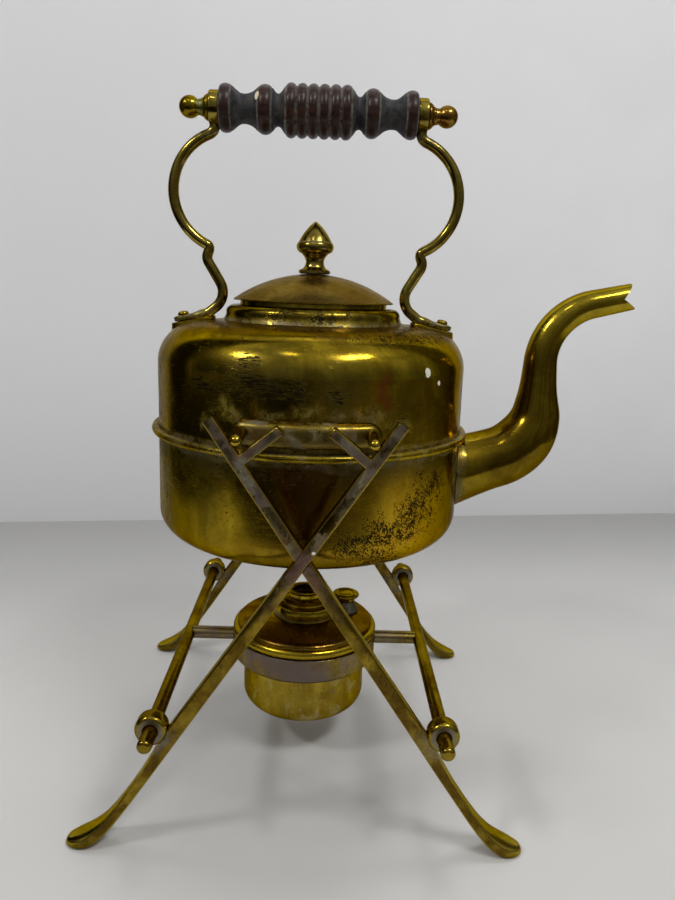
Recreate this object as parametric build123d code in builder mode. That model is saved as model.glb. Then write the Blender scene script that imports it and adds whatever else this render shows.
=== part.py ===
from build123d import *
import os
from math import cos, radians, sin, tan

# A brass spirit kettle hung by four pins in a stand of crossed, club-footed legs, over its burner.
# Millimetres. Origin: centre of the stand on the floor. +X is the spout's side, -Y the front.

# ---------------------------------------------------------------- driving dimensions
# Fits
seam = 0.05              # solder or press joint between curved faces of one assembly
running_gap = 0.3        # between curved faces of pieces that move past each other
pin_clearance = 0.08     # between a hanger pin and the leg that carries it

# Kettle body, made in two shells that meet at the belt
body_radius = 72.0
body_wall = 1.2
belt_height = 165.0      # middle of the belt above the floor
pan_depth = 50.0         # belt to underside
pan_corner = 12.0
crown_rise = 53.5        # where the sloping shoulder would reach the axis, above the belt
shoulder_drop = 6.0      # fall of that slope from the axis to the wall
shoulder_radius = 18.5
belt_bead = 1.8          # radius of the bead's section
belt_projection = 3.0    # from wall to outermost point of the bead

# Lid seat and lid
collar_radius = 40.8
collar_edge_round = 3.6
collar_flare = 2.2       # how far the collar's foot spreads on the shoulder
collar_flare_height = 5.3
collar_flare_waist = 0.7 # spread that is left at the flare's middle
collar_flare_middle = 3.5
collar_top = 57.0        # above the belt
neck_radius = 34.2       # raised neck inside the collar, which carries the lid
neck_top = 59.2
neck_wall = 1.6
lid_rim_radius = 37.4
lid_thickness = 1.2
lid_rise = 12.8          # rim to crown
lid_rim_edge = 0.5       # thickness of the rim's thin edge
lid_dome_reach = 20.6    # a point on the dome, and its height above the rim
lid_dome_rise = 9.2
lid_hollow_reach = 19.8  # the same for the inside of the dome
lid_skirt_depth = 9.0
lid_skirt_wall = 1.2

# Finial, from its seat on the lid upwards
finial_base_radius = 7.0
finial_base_height = 1.7
finial_neck_radius = 4.2
finial_neck_height = 5.0
finial_cup_radius = 6.2  # where the neck's flare turns into the bulb
finial_cup_height = 9.1
finial_bulb_radius = 8.6
finial_bulb_height = 12.4
finial_edge_radius = 7.7 # crisp edge between the bulb and the pointed top
finial_edge_height = 14.3
finial_cone_radius = 4.6 # a point halfway up the pointed top
finial_cone_height = 19.2
finial_height = 23.4
finial_base_bulge = 0.4
finial_tip_radius = 0.5
finial_tenon_radius = 2.0
finial_tenon_length = 2.2

# Spout: a tapered tube along straight runs joined by two bends, in the plane of the handle
spout_root_depth = 8.0           # start of the axis inside the wall
spout_root_drop = 19.3           # axis below the belt, where it meets the wall
spout_root_rise = 18.0           # degrees above level at the root
spout_reach = 37.6               # axis of the upright stretch, from the body's wall
spout_crook_rise = 57.4          # corner of the top bend above the belt
spout_tip_rise = 13.0            # degrees above level at the tip
spout_tip_reach = 78.0           # end of the axis, from the body's wall
elbow_radius = 26.0
crook_radius = 29.0
spout_wall = 0.9
beak_notch = 5.6                 # depth of the vee cut in the mouth
spout_widths = (                 # outside diameters at even steps along the axis, root to tip
    34.5, 32.1, 29.8, 29.2, 28.0, 23.4, 18.2, 15.9, 15.0, 14.4, 13.7, 13.0, 12.4,
)

# Lug bars on the front and back of the body, and the four hanger pins
lug_past_pin = 4.3       # pin axis to the end of the bar
lug_height = 10.5
lug_thickness = 4.5
lug_round = 3.2          # the bar's face is rounded towards its edges
lug_rise = 9.3           # middle of the bar above the belt
pin_radius = 2.35
pin_rise = 10.0          # pin axis above the belt
pin_projection = 2.6     # past the outer face of the legs
pin_end_round = 2.1

# Handle: two bent arms, an eye at the top of each, and a turned grip on a through rod
grip_axis_rise = 142.5   # above the belt
grip_half_length = 44.0
grip_rod_radius = 2.4
eye_radius = 7.4
eye_thickness = 4.8
eye_edge_round = 0.9
arm_rod_radius = 2.4
arm_neck_drop = 10.2     # grip axis to the tight bend under the eye
arm_bow_spread = 8.2     # widest point of the bow, outwards from the middle of the foot pad
arm_bow_rise = 107.3
arm_notch_inset = 8.6    # pointed notch under the bow, and then inwards from that middle
arm_notch_rise = 82.8
arm_belly_inset = 6.6
arm_belly_rise = 77.4
arm_waist_inset = 17.1
arm_ankle_inset = 9.5    # the rod comes down to the pad here
arm_toe_inset = 3.6      # and ends inside it here
arm_waist_rise = 60.0
arm_ankle_rise = 54.0
arm_toe_rise = 52.6
arm_belly_bend = 4.5     # radii of the three bends
arm_waist_bend = 8.8
arm_ankle_bend = 5.5
foot_inset = 15.0        # middle of the foot pad from the body's wall
foot_rise = 52.0         # middle of the pad's top face above the belt
foot_slope = 12.0        # degrees, falling outwards
foot_length = 18.0
foot_width = 8.4
foot_thickness = 2.8
foot_plate_length = 21.0
foot_plate_width = 11.5
rivet_offset = 4.2       # from the middle of the pad, outwards
rivet_radius = 1.5
rivet_head_radius = 2.6
rivet_head_height = 1.8
rivet_head_round = 1.3

# Grip, half lengths measured from the middle
rib_count = 6
rib_pitch = 4.95
rib_radius = 11.5
rib_groove_radius = 10.3
grip_valley_reach = 18.0
grip_valley_radius = 6.8
grip_bead_reach = 23.9
grip_bead_radius = 10.5
grip_bead_half_width = 3.7
grip_bead_edge_radius = 8.7
grip_neck_reach = 33.2
grip_neck_radius = 6.3
grip_ring_start = 39.0
grip_ring_radius = 10.3
grip_ring_edge_radius = 9.2

# Knobs and their washers outside the eyes
washer_radius = 5.7
washer_face_radius = 4.6
washer_thickness = 2.2
knob_radius = 4.8
knob_foot_radius = 4.0
knob_neck_radius = 3.5
knob_neck_length = 1.8
knob_ball_arc = 136.0    # degrees of the ball's outline, from its pole to the neck
knob_reach = 8.6         # eye to the middle of the ball

# Stand: front and rear frames, each two identical legs halved into each other
frame_standoff = 14.0    # body wall to the middle of a frame
leg_crossing_drop = 47.0 # pin axis down to where the legs cross
leg_past_pin = 7.3       # pin axis up to the leg's top end
leg_knee_height = 52.0   # end of the straight bar, above the floor
leg_knee_reach = 50.9    # and from the middle of the stand
leg_depth = 5.0          # through the frame
leg_top_width = 4.6
leg_knee_width = 6.0
prong_joint_drop = 9.0   # pin axis down to where a prong leaves its leg
prong_rise = 39.5        # degrees above level
prong_end_reach = 9.5    # from the middle of the stand
prong_width = 4.2
sole_start = 87.0        # the club foot's flat sole, from the middle of the stand
sole_end = 93.5
toe_reach = 96.0
foot_blade = 3.6         # thickness of the club foot
toe_height = 1.3         # height of the toe's foremost point
shin_reach = 66.4        # two points on the upper edge of the curve into the foot
shin_height = 31.2
ankle_reach = 81.0
ankle_height = 11.4
toe_fall = 9.0           # degrees, slope of that edge where it reaches the toe
calf_reach = 62.4        # two points on the lower edge
calf_height = 29.0
heel_reach = 77.2
heel_height = 8.0
club_width = 12.0        # through the frame, at the widest
club_reach = 87.5        # where it is widest
club_swell_width = 8.2   # partway along the swelling
club_swell_reach = 76.0

# Stretchers and the eyes that hold them to the legs
stretcher_radius = 3.0
stretcher_height = 54.5
leg_eye_offset = 8.37    # middle of an eye from the middle line of its leg
stretcher_overhang = 11.0
stretcher_end_round = 1.6
leg_eye_radius = 6.6
leg_eye_length = 7.6
leg_eye_round = 1.8

# Burner holder
holder_radius = 36.2
holder_wall = 1.6
holder_height = 12.0
holder_above_rod = 3.8   # rods' axis to the ring's top edge
holder_lip = 1.2         # turned-in lower edge
holder_bevel = 1.5
holder_rod_radius = 3.2

# Burner
cup_radius = 31.0
cup_wall = 1.0
cup_drop = 37.9          # ring's top edge down to the cup's underside
cup_rim_gap = 0.3        # cup's rim under the cover
cup_corner = 8.0
cover_roll_radius = 2.5
cover_overhang = 0.3     # roll beyond the holder
cover_edge_radius = 34.2
cover_edge_rise = 7.1    # ring's top edge to the cover's shoulder
cover_dome_rise = 3.2    # shoulder to crown
cover_fall = 0.7         # fall of the crown at the next size
cover_dome_reach = 18.8
cover_edge_bevel = 1.2
cover_wall = 1.1
hub_foot_radius = 16.6
hub_waist_radius = 13.2
hub_lip_radius = 13.9
hub_waist_rise = 3.6     # above the cover
hub_lip_rise = 6.8
hub_roll_radius = 11.6
hub_roll_rise = 8.6
hub_top_radius = 9.6
hub_height = 11.6
hub_edge = 0.8           # fall of each turned step
hub_bore_radius = 6.6
wick_tube_wall = 0.8
wick_recess = 6.0        # wick's top below the hub's rim
wick_tube_recess = 3.5
wick_tube_length = 30.0
wick_foot_gap = 4.8      # wick's lower end above the cup's floor
vent_radius = 1.3
filler_x = 20.8
filler_y = 5.0
filler_foot_radius = 7.0
filler_neck_radius = 4.6
filler_rise = 3.6
filler_bore_radius = 3.2
cap_radius = 6.9
cap_neck_radius = 4.2
cap_neck_height = 2.0
cap_disc_height = 2.6
cap_plug_depth = 6.0
cap_edge_round = 1.3
cap_groove_radius = 3.9
cap_groove_depth = 0.6

# ---------------------------------------------------------------- places worked out from them
frame_y = body_radius + frame_standoff
top_height = belt_height + crown_rise
collar_z = belt_height + collar_top
neck_z = belt_height + neck_top
crown_z = neck_z + lid_rise
grip_z = belt_height + grip_axis_rise
pin_z = belt_height + pin_rise
foot_reach = body_radius - foot_inset
leg_top_height = pin_z + leg_past_pin
leg_crossing_height = pin_z - leg_crossing_drop
eye_middle = grip_half_length + seam + eye_thickness / 2
eye_outside = grip_half_length + 2 * seam + eye_thickness
holder_top = stretcher_height + holder_above_rod
holder_bottom = holder_top - holder_height
cup_bottom = holder_top - cup_drop
cover_edge_height = holder_top + cover_edge_rise
cover_crown_height = cover_edge_height + cover_dome_rise
cover_under_edge = cover_edge_height - cover_wall - cover_edge_bevel

os.makedirs("parts", exist_ok=True)


def save(piece, name):
    """Label a finished piece and write it as one STEP file."""
    piece.part.label = name
    export_step(piece.part, f"parts/{name}.step")


# ---------------------------------------------------------------- kettle body
with BuildPart() as kettle_pan:
    with Locations((0, 0, belt_height)):
        Cylinder(body_radius, pan_depth, align=(Align.CENTER, Align.CENTER, Align.MAX))
    fillet(kettle_pan.edges().group_by(Axis.Z)[0], pan_corner)
    offset(amount=-body_wall, openings=kettle_pan.faces().sort_by(Axis.Z)[-1])

with BuildPart() as top_blank:
    with BuildSketch(Plane.XZ):
        with BuildLine():
            shoulder = FilletPolyline(
                (0, top_height),
                (body_radius, top_height - shoulder_drop),
                (body_radius, belt_height),
                radius=shoulder_radius,
            )
            Polyline(shoulder @ 1, (0, belt_height), shoulder @ 0)
        make_face()
    revolve(axis=Axis.Z)

# Foot pads lie on the shoulder, one at each end of the handle
right_foot_plane = Plane(
    origin=(foot_reach, 0, belt_height + foot_rise),
    x_dir=(cos(radians(foot_slope)), 0, -sin(radians(foot_slope))),
    z_dir=(sin(radians(foot_slope)), 0, cos(radians(foot_slope))),
)


with BuildPart() as rivet_hole_cutter:
    with BuildSketch(right_foot_plane):
        with Locations((rivet_offset, 0)):
            Circle(rivet_radius + seam)
    extrude(amount=-foot_width * 2)
    mirror(about=Plane.YZ)

with BuildPart() as kettle_top:
    add(top_blank.part)
    offset(amount=-body_wall, openings=kettle_top.faces().sort_by(Axis.Z)[0])
    with Locations((0, 0, belt_height)):
        Cylinder(
            neck_radius - neck_wall,
            crown_rise * 2,
            align=(Align.CENTER, Align.CENTER, Align.MIN),
            mode=Mode.SUBTRACT,
        )
    add(rivet_hole_cutter.part, mode=Mode.SUBTRACT)

with BuildPart() as body_belt:
    with BuildSketch(Plane.XZ):
        with Locations((body_radius + belt_projection - belt_bead, belt_height)):
            Circle(belt_bead)
        with Locations((body_radius + seam, belt_height)):
            Rectangle(
                2 * belt_bead,
                2 * belt_bead,
                align=(Align.MAX, Align.CENTER),
                mode=Mode.SUBTRACT,
            )
    revolve(axis=Axis.Z)

# ---------------------------------------------------------------- lid seat and lid
with BuildPart() as lid_collar:
    with BuildSketch(Plane.XZ):
        with BuildLine():
            collar_foot = (collar_radius + collar_flare, belt_height + crown_rise - shoulder_drop)
            neck_inside = neck_radius - neck_wall
            outside = Polyline(
                (neck_inside, collar_foot[1]),
                collar_foot,
                (collar_foot[0], collar_foot[1] + 2 * seam),
            )
            flare = ThreePointArc(
                outside @ 1,
                (collar_radius + collar_flare_waist, collar_foot[1] + collar_flare_middle),
                (collar_radius, collar_foot[1] + collar_flare_height),
            )
            wall = Line(flare @ 1, (collar_radius, collar_z - collar_edge_round))
            edge = RadiusArc(
                wall @ 1, (collar_radius - collar_edge_round, collar_z), -collar_edge_round
            )
            Polyline(
                edge @ 1,
                (neck_radius, collar_z),
                (neck_radius, neck_z),
                (neck_inside, neck_z),
                (neck_inside, collar_foot[1]),
            )
        make_face()
    revolve(axis=Axis.Z)
    with Locations((0, 0, seam)):
        add(top_blank.part, mode=Mode.SUBTRACT)

with BuildPart() as lid_cover:
    with BuildSketch(Plane.XZ):
        with BuildLine():
            dome = ThreePointArc(
                (lid_rim_radius, neck_z + lid_rim_edge),
                (lid_dome_reach, neck_z + lid_dome_rise),
                (0, crown_z),
            )
            Line(dome @ 1, (0, crown_z - lid_thickness))
            under = ThreePointArc(
                (0, crown_z - lid_thickness),
                (lid_hollow_reach, neck_z + lid_dome_rise - lid_thickness),
                (neck_radius - neck_wall, neck_z),
            )
            Polyline(under @ 1, (lid_rim_radius, neck_z), dome @ 0)
        make_face()
    revolve(axis=Axis.Z)
    with Locations((0, 0, neck_z)):
        Cylinder(
            finial_tenon_radius + seam,
            2 * lid_rise,
            align=(Align.CENTER, Align.CENTER, Align.MIN),
            mode=Mode.SUBTRACT,
        )

skirt_radius = neck_radius - neck_wall - running_gap
with BuildPart() as lid_skirt:
    with BuildSketch(Plane.XY.offset(neck_z)):
        Circle(skirt_radius)
        Circle(skirt_radius - lid_skirt_wall, mode=Mode.SUBTRACT)
    extrude(amount=-lid_skirt_depth)

with BuildPart() as lid_finial:
    with BuildSketch(Plane.XZ):
        with BuildLine():
            seat = Polyline(
                (0, crown_z - finial_tenon_length),
                (finial_tenon_radius, crown_z - finial_tenon_length),
                (finial_tenon_radius, crown_z),
                (finial_base_radius, crown_z),
            )
            base = ThreePointArc(
                seat @ 1,
                (finial_base_radius + finial_base_bulge, crown_z + finial_base_height / 2),
                (finial_base_radius, crown_z + finial_base_height),
            )
            neck = Spline(
                base @ 1,
                (finial_neck_radius, crown_z + finial_neck_height),
                (finial_cup_radius, crown_z + finial_cup_height),
                tangents=((-3, 1), (3, 2)),
            )
            bulb = ThreePointArc(
                neck @ 1,
                (finial_bulb_radius, crown_z + finial_bulb_height),
                (finial_edge_radius, crown_z + finial_edge_height),
            )
            tip = ThreePointArc(
                bulb @ 1,
                (finial_cone_radius, crown_z + finial_cone_height),
                (finial_tip_radius, crown_z + finial_height),
            )
            Polyline(tip @ 1, (0, crown_z + finial_height), seat @ 0)
        make_face()
    revolve(axis=Axis.Z)

# ---------------------------------------------------------------- spout
with BuildLine(Plane.XZ) as spout_axis:
    root_x = body_radius - spout_root_depth
    root_slope = tan(radians(spout_root_rise))
    tip_slope = tan(radians(spout_tip_rise))
    root_z = belt_height - spout_root_drop - spout_root_depth * root_slope
    upright_x = body_radius + spout_reach
    crook_z = belt_height + spout_crook_rise
    FilletPolyline(
        (root_x, root_z),
        (upright_x, root_z + (upright_x - root_x) * root_slope),
        (upright_x, crook_z),
        (body_radius + spout_tip_reach, crook_z + (spout_tip_reach - spout_reach) * tip_slope),
        radius=[elbow_radius, crook_radius],
    )
spout_line = spout_axis.wire()


def spout_solid(inset):
    """The swelling tube as one solid, its surface this far inside the outer one."""
    with BuildPart() as tube:
        for step, width in enumerate(spout_widths):
            share = step / (len(spout_widths) - 1)
            square_to_axis = Plane(
                origin=spout_line @ share, x_dir=(0, 1, 0), z_dir=spout_line % share
            )
            with BuildSketch(square_to_axis):
                Circle(width / 2 - inset)
        loft()
    return tube


spout_bore = spout_solid(spout_wall)
with BuildPart() as spout:
    add(spout_solid(0).part)
    add(spout_bore.part, mode=Mode.SUBTRACT)
    with Locations((0, 0, belt_height)):
        Cylinder(body_radius + seam, 4 * pan_depth, mode=Mode.SUBTRACT)
    mouth = Plane(origin=spout_line @ 1, x_dir=spout_line % 1, z_dir=(0, -1, 0))
    with BuildSketch(mouth):
        with BuildLine():
            Polyline(
                (-beak_notch, 0),
                (beak_notch, 2 * beak_notch),
                (beak_notch, -2 * beak_notch),
                (-beak_notch, 0),
            )
        make_face()
    extrude(amount=spout_widths[-1], both=True, mode=Mode.SUBTRACT)

with BuildPart() as kettle_pan_drilled:
    add(kettle_pan.part)
    add(spout_bore.part, mode=Mode.SUBTRACT)

# ---------------------------------------------------------------- lug bars and hanger pins
leg_crossing = Vector(0, leg_crossing_height)
leg_knee = Vector(leg_knee_reach, leg_knee_height)
leg_dir = (leg_knee - leg_crossing).normalized()
leg_side = Vector(-leg_dir.Y, leg_dir.X)
leg_top = leg_crossing + leg_dir * ((leg_top_height - leg_crossing_height) / leg_dir.Y)
leg_at_stretcher = leg_crossing + leg_dir * ((stretcher_height - leg_crossing_height) / leg_dir.Y)
stretcher_reach = leg_at_stretcher.X + leg_eye_offset / leg_side.X
top_inner = leg_top + leg_side * (leg_top_width / 2)
knee_inner = leg_knee + leg_side * (leg_knee_width / 2)

# A pin lies on the inner edge of a leg's top end, so its place follows from that edge
edge_dir = (top_inner - knee_inner).normalized()
edge_side = Vector(edge_dir.Y, -edge_dir.X)
pin_offset = pin_radius + pin_clearance
edge_x_at_pin = top_inner.X + edge_dir.X / edge_dir.Y * (pin_z - top_inner.Y)
pin_x = -(edge_x_at_pin + pin_offset / edge_side.X)

with BuildPart() as front_lug_bar:
    with BuildSketch(Plane.XZ.offset(body_radius / 2)):
        with Locations((0, belt_height + lug_rise)):
            SlotOverall(2 * (pin_x + lug_past_pin), lug_height)
    extrude(amount=body_radius)
    with Locations((0, 0, belt_height + lug_rise)):
        Cylinder(body_radius + lug_thickness, 2 * lug_height, mode=Mode.INTERSECT)
        Cylinder(body_radius + seam, 2 * lug_height, mode=Mode.SUBTRACT)
    with Locations(Plane.XZ):
        with Locations((-pin_x, pin_z), (pin_x, pin_z)):
            Cylinder(pin_radius + seam, 4 * body_radius, mode=Mode.SUBTRACT)
    fillet(front_lug_bar.faces().sort_by(Axis.Y)[0].outer_wire().edges(), lug_round)

with BuildPart() as rear_lug_bar:
    mirror(front_lug_bar.part, about=Plane.XZ)

pin_reach = frame_y + leg_depth / 2 + pin_projection


def hanger_pins(x):
    """Front and rear pin on one side, round-ended, from the body wall out through the legs."""
    with BuildPart() as pins:
        with BuildSketch(Plane.XZ):
            with Locations((x, pin_z)):
                Circle(pin_radius)
        extrude(amount=pin_reach, both=True)
        fillet(pins.edges(), pin_end_round)
        with Locations((0, 0, pin_z)):
            Cylinder(body_radius + seam, 4 * lug_height, mode=Mode.SUBTRACT)
    return pins


tilt_pins = hanger_pins(pin_x)
rest_pins = hanger_pins(-pin_x)

# ---------------------------------------------------------------- handle
with BuildPart() as right_arm:
    # the eye that the grip's rod passes through
    with BuildSketch(Plane.YZ.offset(eye_middle)):
        with Locations((0, grip_z)):
            Circle(eye_radius)
    extrude(amount=eye_thickness / 2, both=True)
    fillet(right_arm.edges().filter_by(GeomType.CIRCLE), eye_edge_round)
    # the neck under the eye, the bow, and the lower curve that starts at the bow's notch
    with BuildLine(Plane.XZ) as neck_line:
        neck = Line((eye_middle, grip_z - eye_radius / 2), (eye_middle, grip_z - arm_neck_drop))
    with BuildLine(Plane.XZ) as bow_line:
        bow = ThreePointArc(
            neck @ 1,
            (foot_reach + arm_bow_spread, belt_height + arm_bow_rise),
            (foot_reach - arm_notch_inset, belt_height + arm_notch_rise),
        )
    with BuildLine(Plane.XZ) as lower_line:
        FilletPolyline(
            bow @ 1,
            (foot_reach - arm_belly_inset, belt_height + arm_belly_rise),
            (foot_reach - arm_waist_inset, belt_height + arm_waist_rise),
            (foot_reach - arm_ankle_inset, belt_height + arm_ankle_rise),
            (foot_reach - arm_toe_inset, belt_height + arm_toe_rise),
            radius=[arm_belly_bend, arm_waist_bend, arm_ankle_bend],
        )
    for bent_rod, rod_radius in (
        (neck_line, eye_thickness / 2 - seam),
        (bow_line, arm_rod_radius),
        (lower_line, arm_rod_radius),
    ):
        rod_line = bent_rod.wire()
        with BuildSketch(Plane(origin=rod_line @ 0, z_dir=rod_line % 0)):
            Circle(rod_radius)
        sweep(path=rod_line)
    for tight_bend in (bow_line.wire() @ 0, bow_line.wire() @ 1):
        with Locations(tight_bend):
            Sphere(arm_rod_radius)
    # the flattened foot
    with BuildSketch(right_foot_plane):
        SlotOverall(foot_length, foot_width)
    extrude(amount=-foot_thickness)
    with BuildSketch(right_foot_plane.offset(-foot_thickness)):
        Rectangle(2 * foot_length, 2 * foot_width)
    extrude(amount=-foot_width, mode=Mode.SUBTRACT)
    with BuildSketch(Plane.YZ.offset(eye_middle)):
        with Locations((0, grip_z)):
            Circle(grip_rod_radius + seam)
    extrude(amount=eye_thickness, both=True, mode=Mode.SUBTRACT)
    add(rivet_hole_cutter.part, mode=Mode.SUBTRACT)

with BuildPart() as left_arm:
    mirror(right_arm.part, about=Plane.YZ)

with BuildPart() as right_foot_plate:
    with BuildSketch(right_foot_plane.offset(-foot_thickness)):
        SlotOverall(foot_plate_length, foot_plate_width)
    extrude(amount=-foot_plate_width)
    with Locations((0, 0, seam)):
        add(top_blank.part, mode=Mode.SUBTRACT)
    with Locations((0, 0, -seam)):
        add(rivet_hole_cutter.part, mode=Mode.SUBTRACT)

with BuildPart() as left_foot_plate:
    mirror(right_foot_plate.part, about=Plane.YZ)

with BuildPart() as handle_rivets:
    with BuildSketch(right_foot_plane):
        with Locations((rivet_offset, 0)):
            Circle(rivet_head_radius)
    extrude(amount=rivet_head_height)
    fillet(handle_rivets.faces().sort_by(Axis.Z)[-1].edges(), rivet_head_round)
    with BuildSketch(right_foot_plane):
        with Locations((rivet_offset, 0)):
            Circle(rivet_radius)
    extrude(amount=-3 * foot_thickness)
    mirror(about=Plane.YZ)

with BuildPart() as grip:
    with BuildSketch(Plane.XZ):
        with BuildLine():
            for rib in range(rib_count // 2):
                ThreePointArc(
                    (rib * rib_pitch, grip_z + rib_groove_radius),
                    ((rib + 0.5) * rib_pitch, grip_z + rib_radius),
                    ((rib + 1) * rib_pitch, grip_z + rib_groove_radius),
                )
            barrel_end = (rib_count / 2 * rib_pitch, grip_z + rib_groove_radius)
            bead_start = (grip_bead_reach - grip_bead_half_width, grip_z + grip_bead_edge_radius)
            bead_end = (grip_bead_reach + grip_bead_half_width, grip_z + grip_bead_edge_radius)
            ring_start = (grip_ring_start, grip_z + grip_ring_edge_radius)
            ring_end = (grip_half_length, grip_z + grip_ring_edge_radius)
            ThreePointArc(barrel_end, (grip_valley_reach, grip_z + grip_valley_radius), bead_start)
            ThreePointArc(bead_start, (grip_bead_reach, grip_z + grip_bead_radius), bead_end)
            ThreePointArc(bead_end, (grip_neck_reach, grip_z + grip_neck_radius), ring_start)
            ThreePointArc(
                ring_start,
                ((grip_ring_start + grip_half_length) / 2, grip_z + grip_ring_radius),
                ring_end,
            )
            Polyline(
                ring_end,
                (grip_half_length, grip_z + grip_rod_radius + seam),
                (0, grip_z + grip_rod_radius + seam),
                (0, grip_z + rib_groove_radius),
            )
        make_face()
    grip_axis = Axis((0, 0, grip_z), (1, 0, 0))
    revolve(axis=grip_axis)
    mirror(about=Plane.YZ)

with BuildPart() as grip_rod:
    with BuildSketch(Plane.YZ):
        with Locations((0, grip_z)):
            Circle(grip_rod_radius)
    extrude(amount=eye_outside + knob_reach, both=True)

with BuildPart() as right_washer:
    with BuildSketch(Plane.YZ.offset(eye_outside)):
        with Locations((0, grip_z)):
            Circle(washer_radius)
    with BuildSketch(Plane.YZ.offset(eye_outside + washer_thickness)):
        with Locations((0, grip_z)):
            Circle(washer_face_radius)
    loft()
    with BuildSketch(Plane.YZ.offset(eye_outside)):
        with Locations((0, grip_z)):
            Circle(grip_rod_radius + seam)
    extrude(amount=2 * washer_thickness, mode=Mode.SUBTRACT)

with BuildPart() as left_washer:
    mirror(right_washer.part, about=Plane.YZ)

knob_start = eye_outside + washer_thickness + seam
knob_middle = eye_outside + knob_reach
with BuildPart() as right_knob:
    with BuildSketch(Plane.XZ):
        with BuildLine():
            ball = CenterArc((knob_middle, grip_z), knob_radius, 0, knob_ball_arc)
            foot = (knob_start, grip_z + knob_foot_radius)
            ThreePointArc(ball @ 1, (knob_start + knob_neck_length, grip_z + knob_neck_radius), foot)
            Polyline(
                foot,
                (knob_start, grip_z + grip_rod_radius + seam),
                (knob_middle + seam, grip_z + grip_rod_radius + seam),
                (knob_middle + seam, grip_z),
                ball @ 0,
            )
        make_face()
    revolve(axis=grip_axis)

with BuildPart() as left_knob:
    mirror(right_knob.part, about=Plane.YZ)

# ---------------------------------------------------------------- stand legs
top_outer = leg_top - leg_side * (leg_top_width / 2)
knee_outer = leg_knee - leg_side * (leg_knee_width / 2)
with BuildPart() as leg_band:
    with BuildSketch(Plane.XZ):
        with BuildLine():
            Polyline(top_inner, knee_inner, knee_outer, top_outer, top_inner)
        make_face()
    extrude(amount=leg_depth / 2, both=True)

with BuildPart() as leg_blank:
    with BuildSketch(Plane.XZ):
        with BuildLine():
            instep = Spline(
                knee_inner,
                (shin_reach, shin_height),
                (ankle_reach, ankle_height),
                (sole_end, foot_blade),
                tangents=(leg_dir, (cos(radians(toe_fall)), -sin(radians(toe_fall)))),
            )
            toe = ThreePointArc(instep @ 1, (toe_reach, toe_height), (sole_end, 0))
            sole = Line(toe @ 1, (sole_start, 0))
            heel = Spline(
                sole @ 1,
                (heel_reach, heel_height),
                (calf_reach, calf_height),
                knee_outer,
                tangents=((-1, 0), -leg_dir),
            )
            Polyline(knee_outer, top_outer, top_inner, knee_inner)
        make_face()
    extrude(amount=club_width, both=True)
    with BuildSketch(Plane.XY):
        with BuildLine():
            club_side = Spline(
                (stretcher_reach, leg_depth / 2),
                (club_swell_reach, club_swell_width / 2),
                (club_reach, club_width / 2),
                tangents=((1, 0), (1, 0)),
            )
            nose = Spline(club_side @ 1, (toe_reach, 0), tangents=((1, 0), (0, -1)))
            Line(nose @ 1, (leg_top.X - leg_top_width, 0))
            Polyline(
                (leg_top.X - leg_top_width, 0),
                (leg_top.X - leg_top_width, leg_depth / 2),
                club_side @ 0,
            )
        make_face()
        mirror(about=Plane.XZ)
    extrude(amount=leg_top_height + leg_top_width, mode=Mode.INTERSECT)

with BuildPart() as half_lap:
    mirror(leg_band.part, about=Plane.YZ)
    with Locations((0, 0, leg_crossing_height)):
        Box(
            8 * leg_knee_width,
            leg_depth,
            8 * leg_knee_width,
            align=(Align.CENTER, Align.MAX, Align.CENTER),
            mode=Mode.INTERSECT,
        )

with BuildPart() as leg:
    add(leg_blank.part)
    add(half_lap.part, mode=Mode.SUBTRACT)
    with BuildSketch(Plane.XZ):
        with Locations((stretcher_reach, stretcher_height)):
            Circle(leg_eye_radius + seam)
    extrude(amount=leg_depth, both=True, mode=Mode.SUBTRACT)

with BuildPart() as leg_eye:
    with BuildSketch(Plane.XZ):
        with Locations((stretcher_reach, stretcher_height)):
            Circle(leg_eye_radius)
    extrude(amount=leg_eye_length / 2, both=True)
    fillet(leg_eye.edges().filter_by(GeomType.CIRCLE), leg_eye_round)
    with BuildSketch(Plane.XZ):
        with Locations((stretcher_reach, stretcher_height)):
            Circle(stretcher_radius + seam)
    extrude(amount=leg_eye_length, both=True, mode=Mode.SUBTRACT)

prong_dir = Vector(cos(radians(prong_rise)), sin(radians(prong_rise)))
prong_side = Vector(-prong_dir.Y, prong_dir.X)
prong_joint = leg_crossing + leg_dir * ((leg_crossing_drop - prong_joint_drop) / leg_dir.Y)
prong_end = prong_joint - prong_dir * ((prong_joint.X + prong_end_reach) / prong_dir.X)
with BuildPart() as prong:
    with BuildSketch(Plane.XZ):
        with BuildLine():
            half = prong_side * (prong_width / 2)
            Polyline(
                prong_joint + half,
                prong_end + half,
                prong_end - half,
                prong_joint - half,
                prong_joint + half,
            )
        make_face()
    extrude(amount=leg_depth / 2, both=True)
    add(leg_band.part, mode=Mode.SUBTRACT)

# One leg pattern serves four times: half a turn swaps the foot's side and the halving's face
corners = (
    ("front_right", "front_left", -frame_y, 0),
    ("front_left", "front_right", -frame_y, 180),
    ("rear_right", "rear_left", frame_y, 0),
    ("rear_left", "rear_right", frame_y, 180),
)
for foot_corner, top_corner, y, turn in corners:
    place = Location((0, y, 0), (0, 0, turn))
    for pattern, name in (
        (leg, f"{foot_corner}_leg"),
        (leg_eye, f"{foot_corner}_eye"),
        (prong, f"{top_corner}_prong"),
    ):
        with BuildPart() as placed:
            with Locations(place):
                add(pattern.part)
        save(placed, name)

# ---------------------------------------------------------------- stretchers and burner holder
with BuildPart() as right_stretcher:
    with BuildSketch(Plane.XZ):
        with Locations((stretcher_reach, stretcher_height)):
            Circle(stretcher_radius)
    extrude(amount=frame_y + leg_eye_length / 2 + stretcher_overhang, both=True)
    fillet(right_stretcher.edges().filter_by(GeomType.CIRCLE), stretcher_end_round)

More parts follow.
